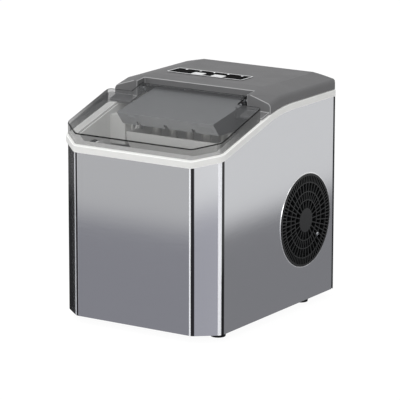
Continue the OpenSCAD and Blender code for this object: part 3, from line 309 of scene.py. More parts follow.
class IceMakerColours(bpy.types.PropertyGroup):
    """Colours of the surfaces that show most."""

    steel: bpy.props.FloatVectorProperty(
        name="Steel", description="Satin sheet of the body", subtype="COLOR", size=3,
        min=0, max=1, default=linear("#c9cacd"))
    trim: bpy.props.FloatVectorProperty(
        name="Trim", description="White band under the lid and the cover", subtype="COLOR",
        size=3, min=0, max=1, default=linear("#e3e3e1"))
    cover: bpy.props.FloatVectorProperty(
        name="Cover", description="Grey cover over the back half", subtype="COLOR", size=3,
        min=0, max=1, default=linear("#6d6d6e"))
    lid: bpy.props.FloatVectorProperty(
        name="Lid", description="Smoky clear lid", subtype="COLOR", size=3,
        min=0, max=1, default=linear("#4a4b4d"))
    panel: bpy.props.FloatVectorProperty(
        name="Key panel", description="Black key panel", subtype="COLOR", size=3,
        min=0, max=1, default=linear("#020203"))
    keys: bpy.props.FloatVectorProperty(
        name="Keys", description="The two keys on the panel", subtype="COLOR", size=3,
        min=0, max=1, default=linear("#dcddde"))
    grille: bpy.props.FloatVectorProperty(
        name="Grille", description="Fan grille", subtype="COLOR", size=3,
        min=0, max=1, default=linear("#1b1c1d"))


# ---- materials, each named for what the real one is ----------------------------------


# lightness of the steel by the bearing of its face in degrees: painted reflections, a bright
# line on each fold and a dark one beside it
PAINTED_FOLD_REFLECTIONS = (
    (-180, 1.0), (-177, 0.09), (-150, 0.09), (-131, 0.09), (-129.8, 1.0), (-128.5, 1.3),
    (-112, 1.3), (-110, 0.07), (-96, 0.07), (-93, 1.3), (-90.5, 1.0), (-89, 1.0),
    (-87.5, 1.6), (-79, 1.6), (-77, 0.07), (-56, 0.07), (-53, 1.0), (-50, 1.0),
    (-47, 1.6), (-26, 1.6), (-24, 0.07), (-3, 0.07), (-1, 1.0), (90, 1.0), (179, 1.0))
PAINTED_GLINT = (1.1, 1.5)  # lightness where a fold's painted highlight starts to lose its metal, and where it has none


def by_bearing(tree, vector, shades):
    """A grey for each compass bearing of a vector; shades are pairs of degrees and grey."""
    axes = add(tree, "ShaderNodeSeparateXYZ", {}, {"Vector": vector})
    turn = add(tree, "ShaderNodeMath", {"operation": "ARCTAN2"},
               {0: axes.outputs["Y"], 1: axes.outputs["X"]})
    share = add(tree, "ShaderNodeMapRange", {},
                {"Value": turn.outputs["Value"], "From Min": -math.pi, "From Max": math.pi})
    ramp = add(tree, "ShaderNodeValToRGB", {}, {"Fac": share.outputs["Result"]})
    stops = ramp.color_ramp.elements
    while len(stops) < len(shades):
        stops.new(0.5)
    for stop, (angle, level) in zip(stops, shades):
        stop.position = (angle + 180) / 360
        stop.color = (level, level, level, 1)
    return ramp.outputs["Color"]


def satin_stainless(colour):
    """Satin stainless sheet, rolled and brushed along the width: clear soft reflections
    with a very fine sideways grain. The real grain is 0.1 mm; 0.5 mm shows. Each fold
    carries a painted reflection set by the bearing of its face: a bright line, pale and
    matte where it is brightest, and a dark line beside it."""
    made, tree, shader = blank("satin_stainless_sheet")
    along = place(tree, (40, 40, 2000))
    shade = vary(tree, along, size=1.0, colour=colour, spread=0.025, detail=2)
    # painted reflections on the folds, a bright line and a dark one, read from the face's
    # bearing
    facing = add(tree, "ShaderNodeTexCoord").outputs["Normal"]
    painted_fold_lines = by_bearing(tree, facing, PAINTED_FOLD_REFLECTIONS)
    shade = add(tree, "ShaderNodeMix", {"data_type": "RGBA", "blend_type": "MULTIPLY"},
                {0: 1.0, 6: shade, 7: painted_fold_lines}).outputs[2]
    tree.links.new(shade, shader.inputs["Base Color"])
    # painted highlight: the brightest fold lines lose their metal and turn pale and matte
    bare = add(tree, "ShaderNodeMapRange", {},
               {"Value": painted_fold_lines, "From Min": PAINTED_GLINT[0], "From Max": PAINTED_GLINT[1],
                "To Min": 1.0, "To Max": 0.1})
    tree.links.new(bare.outputs["Result"], shader.inputs["Metallic"])
    tree.links.new(swing(tree, along, 1.0, 0.09, 0.13), shader.inputs["Roughness"])
    tree.links.new(grain(tree, along, 1.0, 0.001 * MM), shader.inputs["Normal"])
    return made


def moulded(name, colour, rough, size, depth, spread=0.03, gloss=0.5):
    """A moulded plastic: spark-eroded grain of the given size, a colour that drifts a
    little over hand-sized patches, and a sheen that wanders with it."""
    made, tree, shader = blank(name)
    where, wander = place(tree), 0.04
    tree.links.new(vary(tree, where, 50 * MM, colour, spread), shader.inputs["Base Color"])
    tree.links.new(swing(tree, where, 30 * MM, rough - wander, rough + wander),
                   shader.inputs["Roughness"])
    tree.links.new(grain(tree, where, size, depth), shader.inputs["Normal"])
    shader.inputs["Specular IOR Level"].default_value = gloss
    return made


def plated(name, colour, rough, size=4 * MM, spread=0.08, depth=0.004 * MM,
           stretch=(1, 1, 1)):
    """A bare or plated metal: crystals or draw marks of the given size change its
    lightness and its polish."""
    made, tree, shader = blank(name)
    where, wander = place(tree, stretch), 0.06
    tree.links.new(vary(tree, where, size, colour, spread), shader.inputs["Base Color"])
    tree.links.new(swing(tree, where, size, rough - wander, rough + wander),
                   shader.inputs["Roughness"])
    tree.links.new(grain(tree, where, size / 4, depth), shader.inputs["Normal"])
    shader.inputs["Metallic"].default_value = 1.0
    return made


def galvanised(name, colour):
    """Hot-dip galvanised sheet: zinc spangle about 6 mm across, each crystal its own grey
    and its own polish."""
    made, tree, shader = blank(name)
    where = place(tree)
    cells = add(tree, "ShaderNodeTexVoronoi", {}, {"Vector": where, "Scale": 1 / (6 * MM)})
    grey = add(tree, "ShaderNodeSeparateColor", {}, {"Color": cells.outputs["Color"]})
    dark = (*(c * 0.8 for c in colour), 1)
    tint = add(tree, "ShaderNodeMix", {"data_type": "RGBA"},
               {0: grey.outputs["Red"], 6: dark, 7: (*colour, 1)})
    tree.links.new(tint.outputs[2], shader.inputs["Base Color"])
    dull = add(tree, "ShaderNodeMapRange", {},
               {"Value": grey.outputs["Green"], "To Min": 0.35, "To Max": 0.55})
    tree.links.new(dull.outputs["Result"], shader.inputs["Roughness"])
    tree.links.new(grain(tree, where, 2 * MM, 0.01 * MM), shader.inputs["Normal"])
    shader.inputs["Metallic"].default_value = 1.0
    return made


def smoky_clear(name, colour, dense, gloss=0.5, hinge_shade=None):
    """Smoky clear SAN, moulded and polished: each of its two faces holds back a share of
    the light, and it mirrors the room faintly with slight flow ripples. The lid's edges
    take a painted shade from it, nearly black. Given a hinge alpha, a wall takes a painted
    shade that darkens towards the hinge, from 120 to 60 mm before the machine's middle."""
    made, tree, shader = blank(name)
    where = place(tree)
    tree.links.new(vary(tree, where, 60 * MM, colour, 0.04), shader.inputs["Base Color"])
    tree.links.new(swing(tree, where, 50 * MM, 0.02, 0.06), shader.inputs["Roughness"])
    tree.links.new(grain(tree, where, 30 * MM, 0.03 * MM), shader.inputs["Normal"])
    shader.inputs["Alpha"].default_value = dense
    # painted shade: the wall darkens towards the hinge
    if hinge_shade is not None:
        depth = add(tree, "ShaderNodeSeparateXYZ", {}, {"Vector": where}).outputs["Y"]
        hinge_darkening = add(tree, "ShaderNodeMapRange", {},
                    {"Value": depth, "From Min": -120 * MM, "From Max": -60 * MM,
                     "To Min": dense, "To Max": hinge_shade})
        tree.links.new(hinge_darkening.outputs["Result"], shader.inputs["Alpha"])
    shader.inputs["Specular IOR Level"].default_value = gloss
    shader.inputs["IOR"].default_value = 1.57
    return made


def circuit_laminate():
    """Glass-epoxy board under green solder mask: copper tracks 1 mm apart show as paler
    lines under the mask."""
    made, tree, shader = blank("green_circuit_board")
    where = place(tree)
    # a wave of scale 300 repeats each millimetre
    tracks = add(tree, "ShaderNodeTexWave", {"bands_direction": "X", "wave_profile": "SIN"},
                 {"Vector": where, "Scale": 300.0, "Distortion": 6.0, "Detail": 2.0,
                  "Detail Scale": 40.0})
    edge = add(tree, "ShaderNodeMapRange", {"interpolation_type": "SMOOTHSTEP"},
               {"Value": tracks.outputs["Fac"], "From Min": 0.55, "From Max": 0.7})
    mask, track = linear("#184b2c"), linear("#2f7a4a")
    green = add(tree, "ShaderNodeMix", {"data_type": "RGBA"},
                {0: edge.outputs["Result"], 6: (*mask, 1), 7: (*track, 1)})
    tree.links.new(green.outputs[2], shader.inputs["Base Color"])
    tree.links.new(swing(tree, where, 10 * MM, 0.25, 0.4), shader.inputs["Roughness"])
    raised = add(tree, "ShaderNodeBump", {},
                 {"Height": edge.outputs["Result"], "Distance": 0.04 * MM})
    tree.links.new(raised.outputs["Normal"], shader.inputs["Normal"])
    return made


def poured_foam():
    """Polyurethane foam, poured in place: closed cells 1.5 mm across and a dull cream
    skin."""
    made, tree, shader = blank("cream_poured_foam")
    where = place(tree)
    cells = add(tree, "ShaderNodeTexVoronoi", {"feature": "DISTANCE_TO_EDGE"},
                {"Vector": where, "Scale": 1 / (1.5 * MM)})
    tree.links.new(vary(tree, where, 20 * MM, linear("#e6dcb8"), 0.07),
                   shader.inputs["Base Color"])
    pits = add(tree, "ShaderNodeBump", {"invert": True},
               {"Height": cells.outputs["Distance"], "Distance": 0.3 * MM})
    tree.links.new(pits.outputs["Normal"], shader.inputs["Normal"])
    shader.inputs["Roughness"].default_value = 0.9
    return made


def milky_silicone():
    """Extruded silicone hose: milky, a little see-through, with a waxy sheen."""
    made, tree, shader = blank("milky_silicone_hose")
    where = place(tree)
    tree.links.new(vary(tree, where, 12 * MM, linear("#c9d2d6"), 0.04),
                   shader.inputs["Base Color"])
    tree.links.new(swing(tree, where, 8 * MM, 0.25, 0.38), shader.inputs["Roughness"])
    tree.links.new(grain(tree, where, 1 * MM, 0.02 * MM), shader.inputs["Normal"])
    shader.inputs["Subsurface Weight"].default_value = 0.3
    shader.inputs["Subsurface Scale"].default_value = 3 * MM
    return made


def light_pipe():
    """Clear acrylic light pipe with a diffusing end: a pale, smooth, milky dot with a painted
    glow.
    """
    made, tree, shader = blank("clear_acrylic_lens_painted_glow")
    where = place(tree)
    tree.links.new(vary(tree, where, 2 * MM, linear("#f0f2f4"), 0.02),
                   shader.inputs["Base Color"])
    tree.links.new(swing(tree, where, 1 * MM, 0.12, 0.2), shader.inputs["Roughness"])
    tree.links.new(grain(tree, where, 0.5 * MM, 0.01 * MM), shader.inputs["Normal"])
    # painted glow: the dot gives off light of its own
    shader.inputs["Emission Color"].default_value = WHITE
    shader.inputs["Emission Strength"].default_value = 0.7
    return made


FINISHES = {}


def mix_finishes():
    """Makes every finish once, from the colours in the sidebar."""
    tones = bpy.context.scene.ice_maker_colours
    FINISHES.update({
        "steel": satin_stainless(tones.steel),
        # painted highlight: the same sheet, brighter on the bead pressed round the fan opening
        "steel_bead_highlight": plated("stainless_painted_bead_highlight", linear("#f6f6f7"), rough=0.2,
                             size=10 * MM, spread=0.03),
        # glossy ABS: smooth moulding with a faint orange peel 3 mm wide
        "white_trim": moulded("white_abs_trim", tones.trim, rough=0.36, size=3 * MM,
                              depth=0.002 * MM, spread=0.004),
        # its rounded edges are a little smoother, and whiter as a painted highlight
        "trim_edge_highlight": moulded("white_abs_painted_edge_highlight", linear("#fbfbfa"), rough=0.3,
                             size=3 * MM, depth=0.002 * MM, spread=0.01),
        # spark-eroded ABS: a fine matte grain of 0.8 mm that breaks up reflections
        "grey_cover": moulded("grey_grained_abs", tones.cover, rough=0.5, size=0.8 * MM,
                              depth=0.04 * MM, spread=0.025, gloss=0.08),
        # the same ABS, smoother on its rounded edges and paler there as a painted highlight
        "cover_edge_highlight": moulded("grey_abs_painted_edge_highlight", linear("#a2a2a3"), rough=0.35,
                              size=3 * MM, depth=0.01 * MM, spread=0.02, gloss=0.6),
        # powder-coated sheet: small soft pebbles 1.2 mm across
        "dark_sheet": moulded("powder_coated_sheet", linear("#3a3b3d"), rough=0.5,
                              size=1.2 * MM, depth=0.05 * MM, spread=0.05),
        "zinc_sheet": galvanised("galvanised_sheet", linear("#9a9da1")),
        # moulded rubber: dull, with a bloom of lighter dust in patches
        "black_rubber": moulded("black_rubber", linear("#1c1c1d"), rough=0.8,
                                size=0.6 * MM, depth=0.08 * MM, spread=0.15, gloss=0.25),
        # zinc-plated, bright, with fine turning marks
        "screw_steel": plated("bright_plated_screw_steel", linear("#c6c8cb"), rough=0.24,
                              size=1 * MM, spread=0.06),
        # back-printed polycarbonate film: deep black under a smooth clear face that mirrors
        # hardly anything
        "black_panel": moulded("black_gloss_film", tones.panel, rough=0.22, size=2 * MM,
                               depth=0.006 * MM, spread=0.1, gloss=0.0006),
        "clear_lens": light_pipe(),
        # painted ABS keys: smooth silver-white lacquer
        "silver_key": moulded("silver_lacquered_keys", tones.keys, rough=0.32,
                              size=0.6 * MM, depth=0.01 * MM, spread=0.02),
        "circuit_board": circuit_laminate(),
        # polypropylene moulding: waxy white with broad, faint flow marks
        "white_plastic": moulded("white_polypropylene", linear("#f0f0ee"), rough=0.42,
                                 size=1.5 * MM, depth=0.008 * MM, spread=0.02),
        "smoky_lid": smoky_clear("smoky_clear_plastic", tones.lid, dense=0.27),
        # painted shade: the lid's edges nearly black, its walls and flanks darker than its top
        "smoky_edge_shade": smoky_clear("smoky_clear_plastic_painted_dark_edge", linear("#060607"),
                                  dense=0.97, gloss=0.1),
        "smoky_wall_shade": smoky_clear("smoky_clear_plastic_painted_shade_wall", tones.lid, dense=0.36),
        "smoky_flank_shade": smoky_clear("smoky_clear_plastic_painted_shade_flank", linear("#2c2d2e"),
                                   dense=0.5, hinge_shade=0.9),
        "foam": poured_foam(),
        # ABS hood: mid grey, satin
        "grey_hood": moulded("grey_satin_abs", linear("#7d7f81"), rough=0.38,
                             size=1.2 * MM, depth=0.006 * MM, spread=0.03),
        # its sides are rougher and darker, the darkness a painted shade; its front lip is
        # smoother and paler, the paleness a painted highlight
        "hood_side_shade": moulded("grey_abs_painted_shade", linear("#4b4c4e"), rough=0.6,
                             size=1.2 * MM, depth=0.02 * MM, spread=0.04, gloss=0.2),
        "hood_lip_highlight": moulded("grey_abs_painted_highlight", linear("#adafb1"), rough=0.25,
                            size=3 * MM, depth=0.004 * MM, spread=0.02),
        # rolled aluminium: streaks along its length
        "bright_aluminium": plated("rolled_aluminium", linear("#c8cacc"), rough=0.3,
                                   size=10 * MM, spread=0.06, stretch=(1, 1, 6)),
        # drawn copper tube: warm, with darker handling marks
        "copper": plated("drawn_copper", linear("#b8734a"), rough=0.3, size=8 * MM,
                         spread=0.16),
        # nickel plate over copper: smooth and faintly warm
        "nickel": plated("nickel_plate", linear("#dcdbd7"), rough=0.34, size=6 * MM,
                         spread=0.05),
        # glass-filled nylon: dull, speckled
        "dark_plastic": moulded("dark_filled_nylon", linear("#242629"), rough=0.55,
                                size=0.8 * MM, depth=0.04 * MM, spread=0.1),
        "hose": milky_silicone(),
        # grained black polypropylene: matte, a little lighter where the bars catch light
        "black_grille": moulded("black_grained_grille", tones.grille, rough=0.42,
                                size=0.8 * MM, depth=0.03 * MM, spread=0.08, gloss=0.3),
        # painted steel motor can: satin grey with soft darker patches
        "motor_metal": plated("grey_motor_steel", linear("#6f7275"), rough=0.42,
                              size=6 * MM, spread=0.08),
        # stove enamel over drawn steel: black, thick, slightly wavy
        "black_steel": moulded("black_enamelled_steel", linear("#18191b"), rough=0.28,
                               size=4 * MM, depth=0.04 * MM, spread=0.1),
    })


def finish(name):
    """The finish of this name. All of them are mixed when the first is asked for."""
    if not FINISHES:
        mix_finishes()
    return FINISHES[name]


def dress_nodes(slots):
    """Gives the CAD nodes of these slots their finish."""
    for part in PARTS:
        if part["material_slot"] in slots:
            wear(NODES[part["node"]], finish(part["material_slot"]))


def slot_of(node):
    """The record's finish slot of a node."""
    return next(part["material_slot"] for part in PARTS if part["node"] == node)


def dressed(node, body, width, **how):
    """A rounded copy of a node, finished like it and riding with it."""
    slot = slot_of(node)
    return seat(fitted(node, node + "_shown", width, **how), body, slot, finish(slot))


# ---- operators -----------------------------------------------------------------------


class DressCasing(bpy.types.Operator):
    """Steel body, white trim, base, feet and back"""

    bl_idname = "ice_maker.dress_casing"
    bl_label = "Casing"

    def execute(self, context):
        sizes = context.scene.ice_maker_sizes
        dress_nodes({"steel", "white_trim", "dark_sheet", "zinc_sheet", "black_rubber",
                     "screw_steel", "dark_plastic"})
        wrap = fitted("steel_wrap", "steel_wrap_shown", sizes.sheet_edge)
        seat(wrap, "body", "steel", finish("steel"), finish("steel_bead_highlight"))
        # the bead pressed round the fan opening takes a painted highlight
        low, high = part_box("fan_grille")
        middle, reach = (low + high) / 2, (high.y - low.y) / 2 + sizes.bead_width
        for face in wrap.data.polygons:
            away = [wrap.data.vertices[v].co - middle for v in face.vertices]
            if (max(math.hypot(a.y, a.z) for a in away) < reach
                    and min(a.x for a in away) > -sizes.bead_depth):
                face.material_index = 1
        # the trim's rounded edges take a painted highlight
        trim = fitted("trim_frame", "trim_frame_shown", sizes.moulded_edge, rim=1)
        seat(trim, "body", "white_trim", finish("white_trim"), finish("trim_edge_highlight"))
        dressed("feet", "body", sizes.moulded_edge)
        dressed("rear_panel", "body", sizes.sheet_edge)
        dressed("drain_cap", "drain_plug", sizes.moulded_edge)
        crossed("rear_screws", axis=1, span=4.2 * MM, depth=1.0 * MM)
        return {"FINISHED"}


class DressCover(bpy.types.Operator):
    """Grey cover over the back half"""

    bl_idname = "ice_maker.dress_cover"
    bl_label = "Cover"

    def execute(self, context):
        sizes = context.scene.ice_maker_sizes
        dress_nodes({"grey_cover"})
        # the cover's rounded edges take a painted highlight
        cover = fitted("top_cover", "top_cover_shown", sizes.moulded_edge, rim=1)
        seat(cover, "body", "grey_cover", finish("grey_cover"), finish("cover_edge_highlight"))
        return {"FINISHED"}


class BuildKeyPanel(bpy.types.Operator):
    """Key panel with its pale border, keys and indicator dots"""

    bl_idname = "ice_maker.build_key_panel"
    bl_label = "Key panel"

    def execute(self, context):
        sizes = context.scene.ice_maker_sizes
        dress_nodes({"black_panel", "clear_lens", "silver_key", "circuit_board"})
        dressed("button_power", "power_key", sizes.key_edge)
        dressed("button_select", "select_key", sizes.key_edge)
        low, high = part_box("control_panel")
        bpy.ops.object.select_all(action="DESELECT")
        bpy.ops.mesh.primitive_plane_add(
            size=1, location=((low.x + high.x) / 2, (low.y + high.y) / 2, high.z))
        border = context.active_object
        border.scale = (high.x - low.x, high.y - low.y, 1)
        settle(border, "panel_border")
        bpy.ops.object.mode_set(mode="EDIT")
        bpy.ops.mesh.select_all(action="SELECT")
        bpy.ops.mesh.bevel(offset=sizes.border_corner, segments=5, affect="VERTICES")
        bpy.ops.mesh.inset(thickness=sizes.border_width, use_boundary=True)
        bpy.ops.mesh.delete(type="ONLY_FACE")
        bpy.ops.mesh.select_all(action="SELECT")
        bpy.ops.mesh.extrude_region_move(
            TRANSFORM_OT_translate={"value": (0, 0, sizes.border_height)})
        bpy.ops.object.mode_set(mode="OBJECT")
        outward(border)
        seat(border, "body", "silver_key", finish("silver_key"))
        return {"FINISHED"}


class DressLid(bpy.types.Operator):
    """Smoky clear lid"""

    bl_idname = "ice_maker.dress_lid"
    bl_label = "Lid"

    def execute(self, context):
        dress_nodes({"smoky_lid"})
        top, edge, wall, flank = range(4)
        lid = fitted("lid_window", "lid_window_shown", context.scene.ice_maker_sizes.lid_edge,
                     rim=edge)
        # painted shade: the rounded edges that look up are nearly black, the walls are darker
        # than the top, and the two flanks darker still, more so towards the hinge
        looks_up = 0.3
        for face in lid.data.polygons:
            if face.normal.z < looks_up or face.material_index == top:
                face.material_index = top if abs(face.normal.z) > SQUARE_ON else wall
                if abs(face.normal.x) > SQUARE_ON:
                    face.material_index = flank
        seat(lid, "lid", "smoky_lid", finish("smoky_lid"), finish("smoky_edge_shade"),
             finish("smoky_wall_shade"), finish("smoky_flank_shade"))
        # the light under the lid is as bright as beside it
        lid.visible_shadow = False
        lid.visible_diffuse = False
        return {"FINISHED"}


class DressGrille(bpy.types.Operator):
    """Fan grille, its screw and the fan behind it"""

    bl_idname = "ice_maker.dress_grille"
    bl_label = "Grille and fan"

    def execute(self, context):
        dress_nodes({"black_grille", "motor_metal"})
        crossed("grille_screw", axis=0, span=2.6 * MM, depth=0.6 * MM)
        return {"FINISHED"}


class DressFreezingUnit(bpy.types.Operator):
    """Tank, hood, fingers, water tray, shovel, chute and basket"""

    bl_idname = "ice_maker.dress_freezing_unit"
    bl_label = "Freezing unit"

    def execute(self, context):
        sizes = context.scene.ice_maker_sizes
        dress_nodes({"white_plastic", "grey_hood", "nickel", "foam", "hose"})
        hood = dressed("evaporator_hood", "body", sizes.hood_edge)
        wear(hood, finish("grey_hood"), finish("hood_side_shade"), finish("hood_lip_highlight"))
        # painted shade on the hood's sides, painted highlight on its front lip
        side, lip, looks_forward = 1, 2, 0.6
        for face in hood.data.polygons:
            if abs(face.normal.x) > SQUARE_ON:
                face.material_index = side
            elif -face.normal.y > looks_forward:
                face.material_index = lip
        # the light under the hood is as bright as beside it
        hood.visible_shadow = False
        dressed("inner_tank", "body", sizes.tank_edge)
        dressed("ice_basket", "basket", sizes.basket_edge)
        # the motor's cover is a white moulding
        wear(NODES["tray_motor"], finish("white_plastic"))
        return {"FINISHED"}


class DressCoolingUnit(bpy.types.Operator):
    """Compressor, condenser, lines and valve"""

    bl_idname = "ice_maker.dress_cooling_unit"
    bl_label = "Cooling unit"

    def execute(self, context):
        dress_nodes({"bright_aluminium", "copper", "black_steel"})
        return {"FINISHED"}


# ---- the studio ----------------------------------------------------------------------


# brightness of the studio by bearing in degrees: pale walls and one narrow dark gap
WALL_SHADES = (
    (-180, 0.7), (-130, 0.69), (-118, 0.7), (-110, 1.0), (-60, 1.0), (-44, 1.05),
    (-35, 1.1), (45, 1.05), (57, 0.93), (110, 0.85), (151, 0.8), (152.5, 0.05),
    (159.5, 0.05), (161, 0.75), (179, 0.7))
WALL_TOP = (0.3, 0.6)  # how steeply up a look is where the walls end and the ceiling starts
CEILING = (0.6, 0.6, 0.6, 1)
EVEN_LIGHT = 0.72

# the floor that metal mirrors carries a painted shade: darker in front of the machine and
# beside it, plain further out, so that a soft horizon shows between these two heights on its
# sides
HORIZON = (108 * MM, 155 * MM)
FRONT_PAINTED_SHADE = (0.515, 0.515, 0.562, 1)
SIDE_PAINTED_SHADE = (0.33, 0.33, 0.345, 1)
PAINTED_SHADE_TURN = (-140 * MM, -100 * MM)  # front to back, where one painted shade gives way to the other
# the machine's right side, front and bevelled corner, as distances from its middle; each
# RUN is how far out the floor lies that this side mirrors, for one metre of height, in a
# look from 13 degrees above level
RIGHT_AT, RIGHT_RUN = 112 * MM, 2.36
FRONT_AT, FRONT_RUN = 141 * MM, 3.56
CORNER_AT, CORNER_RUN = 200 * MM, 4.25

# each lamp's name, place, width in metres and power in watts
LAMPS = (("top_softbox", (-0.5, -0.4, 2.2), 1.8, 17),
         ("front_softbox", (0.4, -2.4, 1.5), 1.2, 13))
LAMPS_AIM = Vector((0, 0, 0.15))

# the camera's place, its bearing, height and roll in degrees, and its lens in millimetres
CAMERA_AT = (1.87923, -2.87830, 0.94699)
CAMERA_TURN, CAMERA_TILT, CAMERA_ROLL = 33.087, 13.26, 0.098
CAMERA_LENS, CAMERA_SENSOR = 257.66, 36


def floor_shade(tree, here):
    """Painted shade on the floor as metal mirrors it: darker near the machine."""
    axes = add(tree, "ShaderNodeSeparateXYZ", {}, {"Vector": here})
    away = add(tree, "ShaderNodeVectorMath", {"operation": "LENGTH"}, {0: here})
    sums = {"x": axes.outputs["X"], "y": axes.outputs["Y"], "away": away.outputs["Value"]}
    # each row is a result, the sum that gives it, and its two values
    for result, operation, first, second in (
            ("right", "SUBTRACT", "x", RIGHT_AT), ("right", "DIVIDE", "right", RIGHT_RUN),
            ("front", "ADD", "y", FRONT_AT), ("front", "DIVIDE", "front", -FRONT_RUN),
            ("round", "SUBTRACT", "away", CORNER_AT), ("round", "DIVIDE", "round", CORNER_RUN),
            ("both", "MINIMUM", "right", "front"), ("either", "MAXIMUM", "right", "front"),
            ("corner", "GREATER_THAN", "both", 0.0), ("beside", "GREATER_THAN", "either", 0.0)):
        sums[result] = add(tree, "ShaderNodeMath", {"operation": operation},
                           {0: sums[first], 1: sums.get(second, second)}).outputs["Value"]
    reach = add(tree, "ShaderNodeMix", {"data_type": "FLOAT"},
                {0: sums["beside"], 2: sums["round"], 3: sums["either"]})
    reach = add(tree, "ShaderNodeMix", {"data_type": "FLOAT"},
                {0: sums["corner"], 2: reach.outputs[0], 3: sums["both"]})
    far = add(tree, "ShaderNodeMapRange", {"interpolation_type": "SMOOTHSTEP"},
              {"Value": reach.outputs[0], "From Min": HORIZON[0], "From Max": HORIZON[1]})
    back = add(tree, "ShaderNodeMapRange", {"interpolation_type": "SMOOTHSTEP"},
               {"Value": axes.outputs["Y"], "From Min": PAINTED_SHADE_TURN[0], "From Max": PAINTED_SHADE_TURN[1]})
    near = add(tree, "ShaderNodeMix", {"data_type": "RGBA"},
               {0: back.outputs["Result"], 6: FRONT_PAINTED_SHADE, 7: SIDE_PAINTED_SHADE})
    return add(tree, "ShaderNodeMix", {"data_type": "RGBA"},
               {0: far.outputs["Result"], 6: near.outputs[2], 7: WHITE}).outputs[2]


def lay_floor():
    """Matte pale floor. A look straight at it, or through the lid, finds it nearly white
    under its shadows, and metal mirrors it with a painted shade near the machine."""
    bpy.ops.object.select_all(action="DESELECT")
    bpy.ops.mesh.primitive_plane_add(size=30, location=(0, 0, 0))
    floor = settle(bpy.context.active_object, "studio_floor")
    made, tree, shader = blank("pale_studio_floor")
    shader.inputs["Base Color"].default_value = (0.8, 0.8, 0.8, 1)
    shader.inputs["Roughness"].default_value = 0.9
    path = add(tree, "ShaderNodeLightPath")
    white = add(tree, "ShaderNodeEmission", {}, {"Strength": 1.06})
    pale = add(tree, "ShaderNodeMixShader", {},
               {0: 0.1, 1: white.outputs[0], 2: shader.outputs[0]})
    here = add(tree, "ShaderNodeTexCoord").outputs["Object"]
    mirrored = add(tree, "ShaderNodeBsdfTransparent", {}, {"Color": floor_shade(tree, here)})
    shown = shader
    for ray, look in (("Is Camera Ray", pale), ("Is Transmission Ray", pale),
                      ("Is Glossy Ray", mirrored)):
        shown = add(tree, "ShaderNodeMixShader", {},
                    {0: path.outputs[ray], 1: shown.outputs[0], 2: look.outputs[0]})
    tree.links.new(shown.outputs[0], tree.nodes["Material Output"].inputs["Surface"])
    wear(floor, made)


def paint_world(scene):
    """Even soft light for the object, white behind it, and walls for metal to mirror."""
    world = bpy.data.worlds.new("soft_studio")
    world.use_nodes = True
    scene.world = world
    tree = world.node_tree
    path = add(tree, "ShaderNodeLightPath")
    here = add(tree, "ShaderNodeTexCoord").outputs["Generated"]
    height = add(tree, "ShaderNodeSeparateXYZ", {}, {"Vector": here}).outputs["Z"]
    rise = add(tree, "ShaderNodeMapRange", {},
               {"Value": height, "From Min": WALL_TOP[0], "From Max": WALL_TOP[1]})
    level = add(tree, "ShaderNodeMix", {"data_type": "RGBA"},
                {0: rise.outputs["Result"], 6: by_bearing(tree, here, WALL_SHADES), 7: CEILING})
    mirrored = add(tree, "ShaderNodeBackground", {}, {"Color": level.outputs[2]})
    white = add(tree, "ShaderNodeBackground", {}, {"Color": WHITE})
    shown = tree.nodes["Background"]
    shown.inputs["Color"].default_value = WHITE
    shown.inputs["Strength"].default_value = EVEN_LIGHT
    for ray, look in (("Is Glossy Ray", mirrored), ("Is Transmission Ray", white),
                      ("Is Camera Ray", white)):
        shown = add(tree, "ShaderNodeMixShader", {},
                    {0: path.outputs[ray], 1: shown.outputs[0], 2: look.outputs[0]})
    tree.links.new(shown.outputs[0], tree.nodes["World Output"].inputs["Surface"])


def hang_lamps():
    """Two soft lamps, one above and one in front."""
    for name, spot, size, power in LAMPS:
        bpy.ops.object.light_add(type="AREA", location=spot)
        lamp = bpy.context.active_object
        lamp.name = name
        lamp.data.size = size
        lamp.data.energy = power
        aim = LAMPS_AIM - Vector(spot)
        lamp.rotation_euler = aim.to_track_quat("-Z", "Y").to_euler()


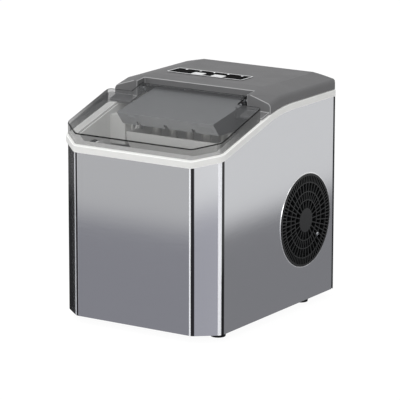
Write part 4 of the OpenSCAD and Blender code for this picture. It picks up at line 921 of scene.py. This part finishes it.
def set_camera(scene):
    """The camera, in front of the machine, to its right and a little above it."""
    turn, tilt, roll = (math.radians(a) for a in (CAMERA_TURN, CAMERA_TILT, CAMERA_ROLL))
    back = Vector((math.sin(turn) * math.cos(tilt), -math.cos(turn) * math.cos(tilt),
                   math.sin(tilt)))
    right = (-back).cross(Vector((0, 0, 1))).normalized()
    up = right.cross(-back)
    right, up = (right * math.cos(roll) + up * math.sin(roll),
                 up * math.cos(roll) - right * math.sin(roll))
    lens = bpy.data.cameras.new("studio_camera")
    lens.lens = CAMERA_LENS
    lens.sensor_width = CAMERA_SENSOR
    lens.clip_end = 50
    camera = bpy.data.objects.new("studio_camera", lens)
    scene.collection.objects.link(camera)
    camera.matrix_world = Matrix((right, up, back)).transposed().to_4x4()
    camera.location = CAMERA_AT
    scene.camera = camera


class BuildStage(bpy.types.Operator):
    """Floor, soft light and camera"""

    bl_idname = "ice_maker.build_stage"
    bl_label = "Stage"

    def execute(self, context):
        lay_floor()
        paint_world(context.scene)
        hang_lamps()
        set_camera(context.scene)
        context.scene.view_settings.view_transform = "Standard"
        return {"FINISHED"}


# ---- the add-on ----------------------------------------------------------------------


STEPS = (DressCasing, DressCover, BuildKeyPanel, DressLid, DressGrille, DressFreezingUnit,
         DressCoolingUnit, BuildStage)


class IceMakerPanel(bpy.types.Panel):
    """Lists the ice maker's steps, sizes and colours"""

    bl_idname = "VIEW3D_PT_ice_maker"
    bl_label = "Ice maker"
    bl_space_type = "VIEW_3D"
    bl_region_type = "UI"
    bl_category = "Ice maker"

    def draw(self, context):
        for step in STEPS:
            self.layout.operator(step.bl_idname)
        for group in (context.scene.ice_maker_sizes, context.scene.ice_maker_colours):
            for name in group.bl_rna.properties.keys():
                if name not in {"rna_type", "name"}:
                    self.layout.prop(group, name)


CLASSES = (IceMakerSizes, IceMakerColours, *STEPS, IceMakerPanel)


def register():
    for one in CLASSES:
        bpy.utils.register_class(one)
    bpy.types.Scene.ice_maker_sizes = bpy.props.PointerProperty(type=IceMakerSizes)
    bpy.types.Scene.ice_maker_colours = bpy.props.PointerProperty(type=IceMakerColours)


def unregister():
    del bpy.types.Scene.ice_maker_colours
    del bpy.types.Scene.ice_maker_sizes
    for one in reversed(CLASSES):
        bpy.utils.unregister_class(one)


def main():
    """Registers the add-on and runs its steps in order."""
    register()
    for step in STEPS:
        group, action = step.bl_idname.split(".")
        getattr(getattr(bpy.ops, group), action)()


if __name__ == "__main__":
    main()
